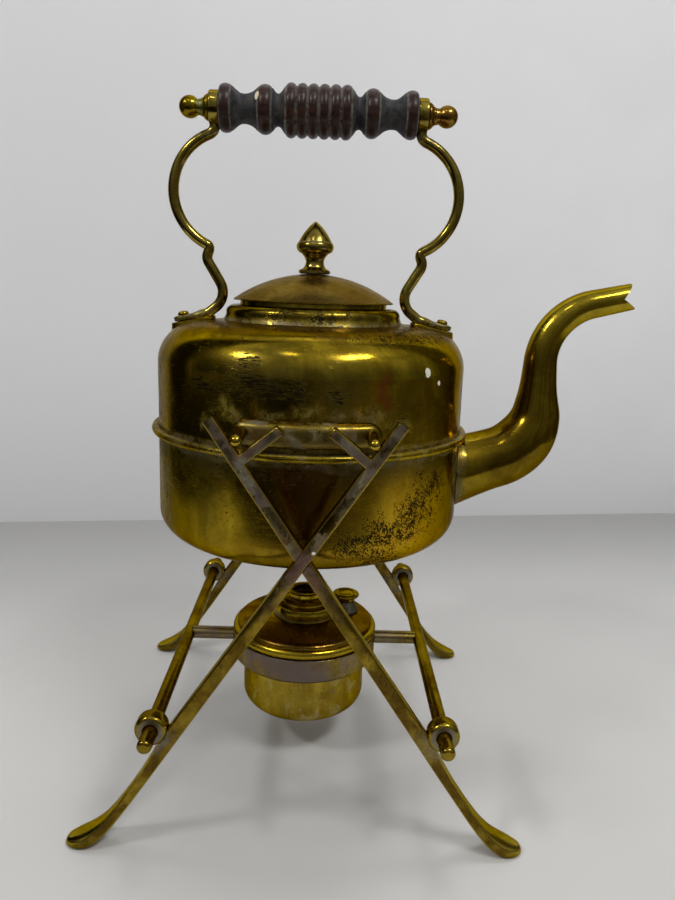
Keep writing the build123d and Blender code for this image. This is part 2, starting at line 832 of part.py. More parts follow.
with BuildPart() as left_stretcher:
    mirror(right_stretcher.part, about=Plane.YZ)

with BuildPart() as holder_ring:
    with BuildSketch(Plane.XZ):
        with BuildLine():
            inner = holder_radius - holder_wall
            lip_radius = cup_radius + running_gap
            Polyline(
                (inner, holder_top),
                (holder_radius, holder_top),
                (holder_radius, holder_bottom + holder_bevel),
                (holder_radius - holder_bevel, holder_bottom),
                (lip_radius, holder_bottom),
                (lip_radius, holder_bottom + holder_lip),
                (inner, holder_bottom + holder_lip),
                (inner, holder_top),
            )
        make_face()
    revolve(axis=Axis.Z)

with BuildPart() as right_holder_rod:
    with BuildSketch(Plane.YZ):
        with Locations((0, stretcher_height)):
            Circle(holder_rod_radius)
    extrude(amount=stretcher_reach)
    with Locations((0, 0, stretcher_height)):
        Cylinder(holder_radius + seam, 4 * holder_rod_radius, mode=Mode.SUBTRACT)
    with BuildSketch(Plane.XZ):
        with Locations((stretcher_reach, stretcher_height)):
            Circle(stretcher_radius + seam)
    extrude(amount=stretcher_overhang, both=True, mode=Mode.SUBTRACT)

with BuildPart() as left_holder_rod:
    mirror(right_holder_rod.part, about=Plane.YZ)

# ---------------------------------------------------------------- burner
roll_z = holder_top + cover_roll_radius
cup_top = cover_under_edge - cup_rim_gap
with BuildPart() as burner_cup:
    with Locations((0, 0, cup_bottom)):
        Cylinder(
            cup_radius,
            cup_top - cup_bottom,
            align=(Align.CENTER, Align.CENTER, Align.MIN),
        )
    fillet(burner_cup.edges().group_by(Axis.Z)[0], cup_corner)
    offset(amount=-cup_wall, openings=burner_cup.faces().sort_by(Axis.Z)[-1])

with BuildPart() as cover_blank:
    with BuildSketch(Plane.XZ):
        with BuildLine():
            cover_rim = holder_radius + cover_overhang
            roll_inside = cup_radius + seam
            top = ThreePointArc(
                (0, cover_crown_height),
                (cover_dome_reach, cover_crown_height - cover_fall),
                (cover_edge_radius - cover_edge_bevel, cover_edge_height),
            )
            Polyline(
                top @ 1,
                (cover_edge_radius, cover_edge_height - cover_edge_bevel),
                (cover_edge_radius, holder_top),
                (roll_inside, holder_top),
                (roll_inside, cover_under_edge),
                (0, cover_crown_height - cover_wall - cover_edge_bevel),
                (0, cover_crown_height),
            )
        make_face()
        with Locations((cover_rim - cover_roll_radius, roll_z)):
            Circle(cover_roll_radius)
    revolve(axis=Axis.Z)

hub_z = cover_crown_height
with BuildPart() as hub:
    with BuildSketch(Plane.XZ):
        with BuildLine():
            foot = Polyline(
                (hub_bore_radius, hub_z - 2 * cover_wall),
                (hub_foot_radius, hub_z - 2 * cover_wall),
                (hub_foot_radius, hub_z),
            )
            waist = ThreePointArc(
                foot @ 1,
                (hub_waist_radius, hub_z + hub_waist_rise),
                (hub_lip_radius, hub_z + hub_lip_rise),
            )
            Polyline(
                waist @ 1,
                (hub_roll_radius, hub_z + hub_lip_rise + hub_edge),
                (hub_roll_radius, hub_z + hub_roll_rise),
                (hub_top_radius, hub_z + hub_roll_rise + hub_edge),
                (hub_top_radius, hub_z + hub_height - hub_edge),
                (hub_top_radius - hub_edge, hub_z + hub_height),
                (hub_bore_radius, hub_z + hub_height),
                (hub_bore_radius, hub_z - 2 * cover_wall),
            )
        make_face()
    revolve(axis=Axis.Z)
    with Locations((0, 0, seam)):
        add(cover_blank.part, mode=Mode.SUBTRACT)

with BuildPart() as burner_cover:
    add(cover_blank.part)
    with Locations((0, 0, cover_crown_height)):
        Cylinder(hub_bore_radius, 4 * cover_roll_radius, mode=Mode.SUBTRACT)
    with Locations((filler_x, filler_y, cover_crown_height)):
        Cylinder(filler_bore_radius, 4 * cover_roll_radius, mode=Mode.SUBTRACT)
    with Locations((-hub_foot_radius - 2 * vent_radius, 0, cover_crown_height)):
        Cylinder(vent_radius, 4 * cover_roll_radius, mode=Mode.SUBTRACT)

with BuildPart() as filler_boss:
    with BuildSketch(Plane.XY.offset(cover_edge_height)):
        with Locations((filler_x, filler_y)):
            Circle(filler_foot_radius)
    with BuildSketch(Plane.XY.offset(cover_crown_height + filler_rise)):
        with Locations((filler_x, filler_y)):
            Circle(filler_neck_radius)
    loft()
    with Locations((filler_x, filler_y, cover_crown_height)):
        Cylinder(filler_bore_radius, 6 * filler_rise, mode=Mode.SUBTRACT)
    with Locations((0, 0, cover_crown_height)):
        Cylinder(hub_foot_radius + seam, 6 * filler_rise, mode=Mode.SUBTRACT)
    with Locations((0, 0, seam)):
        add(cover_blank.part, mode=Mode.SUBTRACT)

cap_z = cover_crown_height + filler_rise
with BuildPart() as filler_cap:
    with BuildSketch(Plane.XZ.offset(-filler_y)):
        with BuildLine():
            plug = filler_bore_radius - running_gap
            disc_z = cap_z + cap_neck_height
            stem = Polyline(
                (filler_x, cap_z - cap_plug_depth),
                (filler_x + plug, cap_z - cap_plug_depth),
                (filler_x + plug, cap_z),
                (filler_x + cap_neck_radius, cap_z),
                (filler_x + cap_neck_radius, disc_z),
                (filler_x + cap_radius - cap_edge_round, disc_z),
            )
            rim = ThreePointArc(
                stem @ 1,
                (filler_x + cap_radius, disc_z + cap_disc_height / 2),
                (filler_x + cap_radius - cap_edge_round, disc_z + cap_disc_height),
            )
            Polyline(
                rim @ 1,
                (filler_x + cap_groove_radius + cap_groove_depth, disc_z + cap_disc_height),
                (filler_x + cap_groove_radius, disc_z + cap_disc_height - cap_groove_depth),
                (filler_x + cap_groove_radius - cap_groove_depth, disc_z + cap_disc_height),
                (filler_x, disc_z + cap_disc_height),
                stem @ 0,
            )
        make_face()
    revolve(axis=Axis((filler_x, filler_y, 0), (0, 0, 1)))

hub_top = hub_z + hub_height
with BuildPart() as wick_tube:
    with Locations((0, 0, hub_top - wick_tube_recess)):
        Cylinder(
            hub_bore_radius - seam,
            wick_tube_length,
            align=(Align.CENTER, Align.CENTER, Align.MAX),
        )
        Cylinder(
            hub_bore_radius - seam - wick_tube_wall,
            wick_tube_length,
            align=(Align.CENTER, Align.CENTER, Align.MAX),
            mode=Mode.SUBTRACT,
        )

wick_top = hub_top - wick_recess
with BuildPart() as wick:
    with Locations((0, 0, wick_top)):
        Cylinder(
            hub_bore_radius - 2 * seam - wick_tube_wall,
            wick_top - cup_bottom - cup_wall - wick_foot_gap,
            align=(Align.CENTER, Align.CENTER, Align.MAX),
        )
    fillet(wick.edges().sort_by(Axis.Z)[-1], wick_tube_wall)

# ---------------------------------------------------------------- files
pieces = {
    "kettle_pan": kettle_pan_drilled,
    "kettle_top": kettle_top,
    "body_belt": body_belt,
    "lid_collar": lid_collar,
    "spout": spout,
    "front_lug_bar": front_lug_bar,
    "rear_lug_bar": rear_lug_bar,
    "tilt_pins": tilt_pins,
    "rest_pins": rest_pins,
    "right_handle_arm": right_arm,
    "left_handle_arm": left_arm,
    "right_foot_plate": right_foot_plate,
    "left_foot_plate": left_foot_plate,
    "handle_rivets": handle_rivets,
    "grip": grip,
    "grip_rod": grip_rod,
    "right_washer": right_washer,
    "left_washer": left_washer,
    "right_knob": right_knob,
    "left_knob": left_knob,
    "lid_cover": lid_cover,
    "lid_skirt": lid_skirt,
    "lid_finial": lid_finial,
    "right_stretcher": right_stretcher,
    "left_stretcher": left_stretcher,
    "holder_ring": holder_ring,
    "right_holder_rod": right_holder_rod,
    "left_holder_rod": left_holder_rod,
    "burner_cup": burner_cup,
    "burner_cover": burner_cover,
    "burner_hub": hub,
    "wick_tube": wick_tube,
    "wick": wick,
    "filler_boss": filler_boss,
    "filler_cap": filler_cap,
}
for name, piece in pieces.items():
    save(piece, name)
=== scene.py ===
import math

import bmesh
import bpy
from mathutils import Matrix, Vector, noise

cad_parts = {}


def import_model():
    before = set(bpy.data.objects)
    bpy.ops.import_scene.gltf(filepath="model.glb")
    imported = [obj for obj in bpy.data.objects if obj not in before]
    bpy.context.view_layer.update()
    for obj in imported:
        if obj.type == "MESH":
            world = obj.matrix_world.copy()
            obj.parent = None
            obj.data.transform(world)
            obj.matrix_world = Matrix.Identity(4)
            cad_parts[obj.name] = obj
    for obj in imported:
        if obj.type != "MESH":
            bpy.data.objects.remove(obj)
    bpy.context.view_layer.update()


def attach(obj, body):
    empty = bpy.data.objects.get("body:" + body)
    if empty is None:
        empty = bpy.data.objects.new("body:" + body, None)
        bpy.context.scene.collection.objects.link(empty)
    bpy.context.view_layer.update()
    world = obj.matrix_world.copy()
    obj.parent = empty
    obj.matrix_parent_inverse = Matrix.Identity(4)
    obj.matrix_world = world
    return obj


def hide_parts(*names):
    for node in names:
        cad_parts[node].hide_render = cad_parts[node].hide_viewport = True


# Sizes are in millimetres in the object's own frame: origin on the floor in the middle of the stand,
# +X towards the spout, -Y towards the front, +Z up. Meshes are written in metres.
MM = 0.001
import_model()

# ---------------- places shared by the pieces
BELT = 165.0                                    # middle of the belt bead
BODY_R, SHEET = 72.0, 1.2                       # body and its wall
PAN_BOTTOM, CROWN = BELT - 50, BELT + 53.5
MOUTH_R, COLLAR_TOP, NECK_TOP = 32.6, BELT + 57.0, BELT + 59.2
LID_CROWN = NECK_TOP + 12.8
SPOUT_ROOT_Z, SPOUT_WALL = 146, 0.9
GRIP, GRIP_BORE, EYE_X = BELT + 142.5, 2.45, 46.45
FOOT, FOOT_SLOPE = Vector((57.0, BELT + 52.0)), math.radians(12)
PIN_X, PIN_Z, PIN_R, PIN_END = 25.71, BELT + 10.0, 2.35, 91.1
FRAME_Y = 86.0                                  # each pair of crossed legs, before and behind the middle
FRONT_FACE = -FRAME_Y - 2.5                     # of the front pair
LEAN = math.radians(33.81)
CROSSING = Vector((0, 128.0))
LEG_DOWN = Vector((math.sin(LEAN), -math.cos(LEAN)))
LEG_SIDE = Vector((math.cos(LEAN), math.sin(LEAN)))
STRETCH_X, STRETCH_Z = 59.3, 54.5
HOLDER_TOP, COVER_TOP = 58.3, 68.6
FILLER = (20.8, 5.0, 0)
MIRROR = Matrix.Scale(-1, 4, (1, 0, 0))

# the body that a piece rides on, and its material slot
ON_BODY, ON_HANDLE, ON_LID = ("kettle", "body_brass"), ("kettle", "handle_brass"), ("lid", "lid_brass")
ON_STAND, ON_BURNER = ("stand", "stand_brass"), ("burner", "burner_brass")

# ---------------- shape helpers


def soften(points, radius=0.4, steps=3):
    """Round the corners of an open outline; bends under 20 degrees stay."""
    out = [points[0]]
    for before, here, after in zip(points, points[1:], points[2:]):
        b, h, a = Vector(before), Vector(here), Vector(after)
        to_b, to_a = b - h, a - h
        if to_b.length < 1e-6 or to_a.length < 1e-6:
            continue
        turn = math.pi - to_b.angle(to_a)
        if turn < math.radians(20):
            out.append(here)
            continue
        cut = min(radius * math.tan(turn / 2), 0.45 * to_b.length, 0.45 * to_a.length)
        start, end = h + to_b.normalized() * cut, h + to_a.normalized() * cut
        out += [tuple(rounded(start, h, end, i / steps)) for i in range(steps + 1)]
    return out + [points[-1]]


def rounded(start, corner, end, t):
    """A point on the curve from start to end that the corner pulls on."""
    return start * (1 - t) ** 2 + corner * 2 * t * (1 - t) + end * t ** 2


def arc(a, m, b, steps=12):
    """Points on the arc from a through m to b, in the plane."""
    ax, ay, bx, by, cx, cy = *a, *m, *b
    d = 2 * (ax * (by - cy) + bx * (cy - ay) + cx * (ay - by))
    sa, sb, sc = ax * ax + ay * ay, bx * bx + by * by, cx * cx + cy * cy
    ux = (sa * (by - cy) + sb * (cy - ay) + sc * (ay - by)) / d
    uy = (sa * (cx - bx) + sb * (ax - cx) + sc * (bx - ax)) / d
    r = math.hypot(ax - ux, ay - uy)
    start = math.atan2(ay - uy, ax - ux)
    middle = (math.atan2(by - uy, bx - ux) - start) % (2 * math.pi)
    sweep = (math.atan2(cy - uy, cx - ux) - start) % (2 * math.pi)
    if middle > sweep:
        sweep -= 2 * math.pi
    turns = [start + sweep * i / steps for i in range(steps + 1)]
    return [(ux + r * math.cos(t), uy + r * math.sin(t)) for t in turns]


def flow(points, steps=8):
    """A smooth open curve through points of any dimension."""
    pts = [Vector(p) for p in points]
    pts = [pts[0] * 2 - pts[1]] + pts + [pts[-1] * 2 - pts[-2]]
    out = []
    for p0, p1, p2, p3 in zip(pts, pts[1:], pts[2:], pts[3:]):
        bend, twist = 2 * p0 - 5 * p1 + 4 * p2 - p3, 3 * p1 - p0 - 3 * p2 + p3
        for t in (i / steps for i in range(steps)):
            out.append(tuple(0.5 * (2 * p1 + (p2 - p0) * t + bend * t ** 2 + twist * t ** 3)))
    return out + [tuple(pts[-2])]


def bent(points, radii, steps=14, run=3.0):
    """A line along straight runs with rounded corners, in the plane; runs are divided every `run`."""
    out = [Vector(points[0])]

    def straight(to):
        start = out[-1].copy()
        n = max(1, int((to - start).length / run))
        out.extend(start.lerp(to, (i + 1) / n) for i in range(n))

    for before, here, after, radius in zip(points, points[1:], points[2:], radii):
        b, h, a = Vector(before), Vector(here), Vector(after)
        u, v = (b - h).normalized(), (a - h).normalized()
        half = u.angle(v) / 2
        cut = radius / math.tan(half)
        centre = h + (u + v).normalized() * (radius / math.sin(half))
        straight(h + u * cut)
        start, end = h + u * cut - centre, h + v * cut - centre
        angle = start.angle(end)
        for t in (i / steps for i in range(1, steps + 1)):
            pull = start * math.sin((1 - t) * angle) + end * math.sin(t * angle)
            out.append(centre + pull / math.sin(angle))
    straight(Vector(points[-1]))
    return [tuple(p) for p in out]


def even(points, count):
    """The same line with its points at even steps."""
    pts = [Vector(p) for p in points]
    ends = [0.0]
    for a, b in zip(pts, pts[1:]):
        ends.append(ends[-1] + (b - a).length)
    out, k = [], 0
    for i in range(count):
        want = ends[-1] * i / (count - 1)
        while k < len(pts) - 2 and ends[k + 1] < want:
            k += 1
        t = (want - ends[k]) / max(1e-9, ends[k + 1] - ends[k])
        out.append(pts[k].lerp(pts[k + 1], min(1.0, t)))
    return out


def turned(profile, axis="Z", centre=(0, 0, 0), segments=128, worn=None):
    """A turned profile of (radius, place along the axis); worn(radius, place, angle) changes the radius."""
    verts, rings = [], []
    for r, h in profile:
        ring = []
        for j in range(1 if r < 1e-6 else segments):
            a = 2 * math.pi * j / segments
            q = worn(r, h, a) if worn and r > 1e-6 else r
            c, s = q * math.cos(a), q * math.sin(a)
            p = {"Z": (c, s, h), "X": (h, c, s), "Y": (c, h, s)}[axis]
            ring.append(len(verts))
            verts.append(tuple(x + y for x, y in zip(p, centre)))
        rings.append(ring)
    faces = []
    for one, two in zip(rings, rings[1:]):
        for j in range(segments):
            k = (j + 1) % segments
            quad = [one[j % len(one)], one[k % len(one)], two[k % len(two)], two[j % len(two)]]
            quad = list(dict.fromkeys(quad))
            if len(quad) > 2:
                faces.append(quad)
    return verts, faces


def lofted(rings, ends=True):
    """Faces between rings of points, each with the same count."""
    n = len(rings[0])
    verts = [tuple(p) for ring in rings for p in ring]
    faces = []
    for i in range(len(rings) - 1):
        for j in range(n):
            k = (j + 1) % n
            faces.append([i * n + j, i * n + k, (i + 1) * n + k, (i + 1) * n + j])
    if ends:
        faces.append(list(range(n))[::-1])
        faces.append([(len(rings) - 1) * n + j for j in range(n)])
    return verts, faces


def joined(*parts):
    verts, faces = [], []
    for v, f in parts:
        shift = len(verts)
        verts.extend(v)
        faces.extend([[i + shift for i in face] for face in f])
    return verts, faces


def moved(part, matrix):
    verts, faces = part
    return [tuple(matrix @ Vector(v)) for v in verts], faces


def round_section(width, height, power=2.0, n=28):
    """A superellipse: power 2 is an ellipse, higher is squarer."""
    out = []
    for i in range(n):
        a = 2 * math.pi * i / n
        c, s = math.cos(a), math.sin(a)
        out.append((math.copysign(abs(c) ** (2 / power), c) * width / 2,
                    math.copysign(abs(s) ** (2 / power), s) * height / 2))
    return out


def bar_section(width, height, radius, steps=3):
    """A rectangle with rounded corners."""
    out = []
    for sx, sy, start in ((1, 1, 0), (-1, 1, 90), (-1, -1, 180), (1, -1, 270)):
        for i in range(steps + 1):
            a = math.radians(start + 90 * i / steps)
            out.append((sx * (width / 2 - radius) + radius * math.cos(a),
                        sy * (height / 2 - radius) + radius * math.sin(a)))
    return out


def rod(line, sections):
    """A bar along a line in the XZ plane. sections gives (across Y, in the plane) points for each place."""
    pts = [Vector((x, 0, z)) for x, z in line]
    across = Vector((0, 1, 0))
    rings = []
    for i, p in enumerate(pts):
        along = (pts[min(i + 1, len(pts) - 1)] - pts[max(i - 1, 0)]).normalized()
        up = along.cross(across)
        rings.append([p + across * a + up * b for a, b in sections[i]])
    return lofted(rings)


def domed(radius, start, end, rounding, steps=5):
    """Profile of a rod with rounded ends."""
    out = [(0, start)]
    for t in (i / steps for i in range(steps + 1)):
        a = math.pi / 2 * t
        out.append((radius - rounding + rounding * math.sin(a), start + rounding - rounding * math.cos(a)))
    return out + [(r, start + end - h) for r, h in out[::-1]]


def hammered(amount, scale=22.0):
    """The slight unevenness of raised sheet metal."""
    def worn(r, h, a):
        p = Vector((math.cos(a) * r, math.sin(a) * r, h)) / scale
        return r - amount * (0.5 + 0.5 * noise.noise(p))
    return worn


def mesh_of(name, part):
    verts, faces = part
    mesh = bpy.data.meshes.new(name)
    mesh.from_pydata([tuple(c * MM for c in v) for v in verts], [], faces)
    bm = bmesh.new()
    bm.from_mesh(mesh)
    bmesh.ops.remove_doubles(bm, verts=bm.verts, dist=2e-6)
    bmesh.ops.recalc_face_normals(bm, faces=bm.faces)
    bm.to_mesh(mesh)
    bm.free()
    return mesh


def placed(name, data):
    """A new object in the scene."""
    ob = bpy.data.objects.new(name, data)
    bpy.context.scene.collection.objects.link(ob)
    return ob


def piece(name, part, body, slot, material, *nodes, sharp=38):
    """Make a mesh object of the part, riding on a body and standing for the named CAD nodes."""
    mesh = mesh_of(name, part)
    mesh.shade_smooth()
    mesh.set_sharp_from_angle(angle=math.radians(sharp))
    mesh.materials.append(material)
    ob = placed(name, mesh)
    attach(ob, body)
    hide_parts(*nodes)


def less(part, *cutters):
    """The part with the cutters' solids taken out of it."""
    base, *tools = [placed("cut", mesh_of("cut", p)) for p in (part, *cutters)]
    for tool in tools:
        cut = base.modifiers.new("cut", "BOOLEAN")
        cut.operation, cut.object, cut.solver = "DIFFERENCE", tool, "EXACT"
    got = base.evaluated_get(bpy.context.evaluated_depsgraph_get()).to_mesh()
    verts = [tuple(c / MM for c in v.co) for v in got.vertices]
    faces = [list(f.vertices) for f in got.polygons]
    for ob in (base, *tools):
        bpy.data.objects.remove(ob)
    return verts, faces


# ---------------- material helpers


class Nodes:
    """A node tree and the few node calls that the materials and the world need."""

    def __init__(self, tree, place):
        self.tree = tree
        self.place = self.made("TexCoord", {}, place)
        self.shifted = None

    def set(self, socket, value):
        if hasattr(value, "node"):
            self.tree.links.new(value, socket)
        else:
            socket.default_value = value

    def made(self, kind, inputs, out=0, **settings):
        """A new node with these inputs and settings; gives its output of that name or number."""
        node = self.tree.nodes.new("ShaderNode" + kind)
        for key, value in settings.items():
            setattr(node, key, value)
        for key, value in inputs.items():
            self.set(node.inputs[key], value)
        return node.outputs[out]

    def stretched(self, scale, turn=(0, 0, 0)):
        turn = [math.radians(t) for t in turn]
        return self.made("Mapping", {"Vector": self.place, "Rotation": turn, "Scale": scale})

    def noise(self, scale, detail=6.0, rough=0.6, bend=0.0, at=None, out="Fac"):
        return self.made("TexNoise", {"Vector": at or self.place, "Scale": scale, "Detail": detail,
                                      "Roughness": rough, "Distortion": bend}, out)

    def math(self, op, a, b=0.0, clamp=False):
        return self.made("Math", {0: a, 1: b}, operation=op, use_clamp=clamp)

    def plus(self, a, b, clamp=False):
        return self.math("ADD", a, b, clamp)

    def minus(self, a, b, clamp=False):
        return self.math("SUBTRACT", a, b, clamp)

    def times(self, a, b, clamp=False):
        return self.math("MULTIPLY", a, b, clamp)

    def most(self, a, b):
        return self.math("MAXIMUM", a, b)

    def vector(self, op, *values, out=0):
        return self.made("VectorMath", dict(enumerate(values)), out, operation=op)

    def fade(self, value, low, high, to_low=0.0, to_high=1.0):
        return self.made("MapRange", {"Value": value, "From Min": low, "From Max": high,
                                      "To Min": to_low, "To Max": to_high}, interpolation_type="SMOOTHSTEP")

    def mix(self, share, a, b):
        a, b = (c if hasattr(c, "node") else (*c, 1.0) for c in (a, b))
        return self.made("Mix", {0: share, 6: a, 7: b}, 2, data_type="RGBA")

    def axis(self, which):
        return self.made("SeparateXYZ", {0: self.place}, which)

    def near(self, value, middle, reach):
        """1 at the middle, falling to 0 at the reach, in metres."""
        away = self.math("ABSOLUTE", self.minus(value, middle))
        return self.fade(away, 0.0, reach, 1.0, 0.0)

    def uneven(self):
        """The place, shifted up to 10 mm this way and that, so that marks have ragged outlines."""
        if self.shifted is None:
            shift = self.noise(75.0, 4.0, 0.5, out="Color")
            shift = self.vector("MULTIPLY_ADD", shift, (0.020, 0.020, 0.020), (-0.010, -0.010, -0.010))
            self.shifted = self.vector("ADD", self.place, shift)
        return self.shifted

    def distance(self, point, squash=(1, 1, 1), ragged=True):
        """Distance in metres from a point given in mm."""
        away = self.vector("SUBTRACT", self.uneven() if ragged else self.place, [p * MM for p in point])
        return self.vector("LENGTH", self.vector("MULTIPLY", away, squash), out="Value")

    def bump(self, height, strength, depth, onto=None):
        inputs = {"Strength": strength, "Distance": depth * MM, "Height": height}
        if onto is not None:
            inputs["Normal"] = onto
        return self.made("Bump", inputs)


class Surface(Nodes):
    """One procedural material."""

    def __init__(self, name):
        self.material = bpy.data.materials.new(name)
        self.material.use_nodes = True
        tree = self.material.node_tree
        tree.nodes.clear()
        super().__init__(tree, "Object")
        self.shader = tree.nodes.new("ShaderNodeBsdfPrincipled")
        self.result = tree.nodes.new("ShaderNodeOutputMaterial").inputs[0]
        self.set(self.result, self.shader.outputs[0])

    def dress(self, values):
        for key, value in values.items():
            self.set(self.shader.inputs[key], value)


def tone(colour, share):
    return tuple(share * c for c in colour)


# ---------------- masks: places on a surface, 1 inside and 0 outside


def z_seam(height, reach):
    return lambda s: s.near(s.axis("Z"), height * MM, reach * MM)


def spot(point, reach, squash=(1, 1, 1), ragged=True):
    """1 at a point, falling to 0 at the reach, in mm."""
    return lambda s: s.fade(s.distance(point, squash, ragged), 0.0, reach * MM, 1.0, 0.0)


def past(low, high, axis="Z"):
    """0 before the low level and 1 past the high one, in mm."""
    return lambda s: s.fade(s.axis(axis), low * MM, high * MM)


def before(low, high, axis="Z"):
    """1 before the low level and 0 past the high one, in mm."""
    return lambda s: s.fade(s.axis(axis), low * MM, high * MM, 1.0, 0.0)


def facing(low, high):
    """1 where the surface faces forwards or backwards."""
    def mask(s):
        across = s.made("SeparateXYZ", {0: s.made("TexCoord", {}, "Normal")}, "Y")
        return s.fade(s.math("ABSOLUTE", across), low, high)
    return mask


def patches(scale, low, high):
    return lambda s: s.fade(s.noise(scale, 6, 0.66, 0.6), low, high)


def both(*masks):
    def mask(s):
        got = masks[-1](s)
        for one in masks[-2::-1]:
            got = s.times(one(s), got)
        return got
    return mask


def smears(scale, rough, bend, low, high):
    """Marks of wiping and running, longer along the axis with the smaller scale."""
    return lambda s: s.fade(s.noise(1.0, 5, rough, bend, s.stretched(scale)), low, high)


# ---------------- old brass
BRIGHT = (0.50, 0.350, 0.020)
OLIVE = (0.255, 0.178, 0.010)
BROWN = (0.150, 0.080, 0.007)
DARK = (0.010, 0.008, 0.006)
ASH = (0.140, 0.142, 0.125)
BLUE_ASH = (0.075, 0.100, 0.100)
PALE_ASH = (0.34, 0.35, 0.32)
GRIME = (0.050, 0.038, 0.028)
VIOLET = (0.205, 0.160, 0.145)
TAN = (0.125, 0.075, 0.020)
CHIPPED = (0.72, 0.70, 0.60)
EDGE_TINT = (0.52, 0.44, 0.27, 1.0)


def tarnish_and_painted_light(s, clean, worn, stain, dull, rough, size, streak, washes):
    """Colour and roughness of the metal under its blotches, smears and washes of tarnish; some washes are
    painted highlights, reflections and shade.
    """
    broad = s.noise(34 * size, 8, 0.62, 0.8)
    fine = s.noise(210 * size, 8, 0.68, 0.3)
    blotch = s.plus(s.times(broad, 0.58), s.times(fine, 0.30))
    blotch = s.plus(blotch, s.times(streak, 0.12))
    tarnish = s.fade(blotch, 0.62 - 0.36 * dull, 0.74 - 0.22 * dull)
    colour = s.mix(s.fade(s.noise(46 * size, 6, 0.62, 0.6), 0.38, 0.70), clean, worn)
    colour = s.mix(s.times(tarnish, 0.86), colour, stain)
    long_way = s.stretched((70 * size, 70 * size, 16 * size), (0, 0, 20))
    smear = s.fade(s.noise(1.0, 5, 0.65, 0.3, long_way), 0.42, 0.66)
    colour = s.mix(s.times(smear, 0.45), colour, tone(stain, 0.42))
    freckles = s.fade(s.noise(900, 5, 0.75), 0.50, 0.72)
    colour = s.mix(s.times(freckles, 0.40), colour, tone(stain, 0.35))
    roughness = s.plus(rough, s.times(tarnish, 0.13))
    roughness = s.plus(roughness, s.times(smear, 0.05))
    uneven = s.fade(blotch, 0.34, 0.60, 0.35, 1.0)
    for mask, tint, share, dullness in washes:
        over = s.times(mask(s), uneven)
        colour = s.mix(s.times(over, share), colour, tint)
        roughness = s.plus(roughness, s.times(over, dullness))
    return colour, roughness


def black_marks(s, pits, hatched, pitted):
    """Pits and specks all over, and the black brush marks and pits that are laid on by masks."""
    from_grain = s.made("TexVoronoi", {"Vector": s.place, "Scale": 620}, "Distance")
    speck = s.fade(from_grain, 0.10, 0.22, 1.0, 0.0)
    speck = s.times(speck, s.fade(s.noise(85, 6, 0.7, 0.5), 0.58 - 0.16 * pits, 0.72 - 0.16 * pits))
    crust = s.fade(s.noise(480, 8, 0.72, 0.4), 0.61 - 0.05 * pits, 0.66 - 0.05 * pits)
    crust = s.times(crust, s.fade(s.noise(48, 5, 0.6, 0.8), 0.60 - 0.12 * pits, 0.72 - 0.12 * pits))
    black = s.most(speck, crust)
    strokes = s.noise(1.0, 4, 0.62, 0.4, s.stretched((210, 210, 1700), (3, -5, 0)))
    grit = s.plus(s.times(s.noise(1500, 3, 0.6, 0.2), 0.62), s.times(s.noise(330, 4, 0.65), 0.38))
    for masks, grain, level, gain, contrast in ((hatched, strokes, 0.68, 0.26, 34.0),
                                                (pitted, grit, 0.655, 0.195, 44.0)):
        for mask in masks:
            over = s.minus(grain, s.minus(level, s.times(mask(s), gain)))
            black = s.most(black, s.times(over, contrast, True))
    return black


def chipped_share(s, masks):
    share = None
    for mask in masks:
        ragged = s.plus(mask(s), s.times(s.minus(s.noise(900, 3, 0.6), 0.5), 0.5))
        chip = s.fade(ragged, 0.46, 0.54)
        share = chip if share is None else s.most(share, chip)
    return share


def residue(s, ash, masks):
    """Share and colour of the grey residue, in the masks and wherever the metal was never polished."""
    share = s.fade(s.noise(130, 8, 0.7, 0.5), 0.66 - 0.42 * ash, 0.86 - 0.42 * ash) if ash else 0.0
    patchy = s.fade(s.noise(260, 7, 0.72, 0.5), 0.34, 0.62, 0.0, 0.75)
    for mask in masks:
        share = s.most(share, s.times(mask(s), patchy))
    grey = s.mix(s.fade(s.noise(90, 4, 0.5), 0.40, 0.62), ASH, BLUE_ASH)
    grey = s.mix(s.fade(s.noise(700, 5, 0.7), 0.42, 0.66), grey, GRIME)
    grey = s.mix(s.fade(s.noise(330, 6, 0.7, 0.6), 0.60, 0.68), grey, PALE_ASH)
    return share, grey


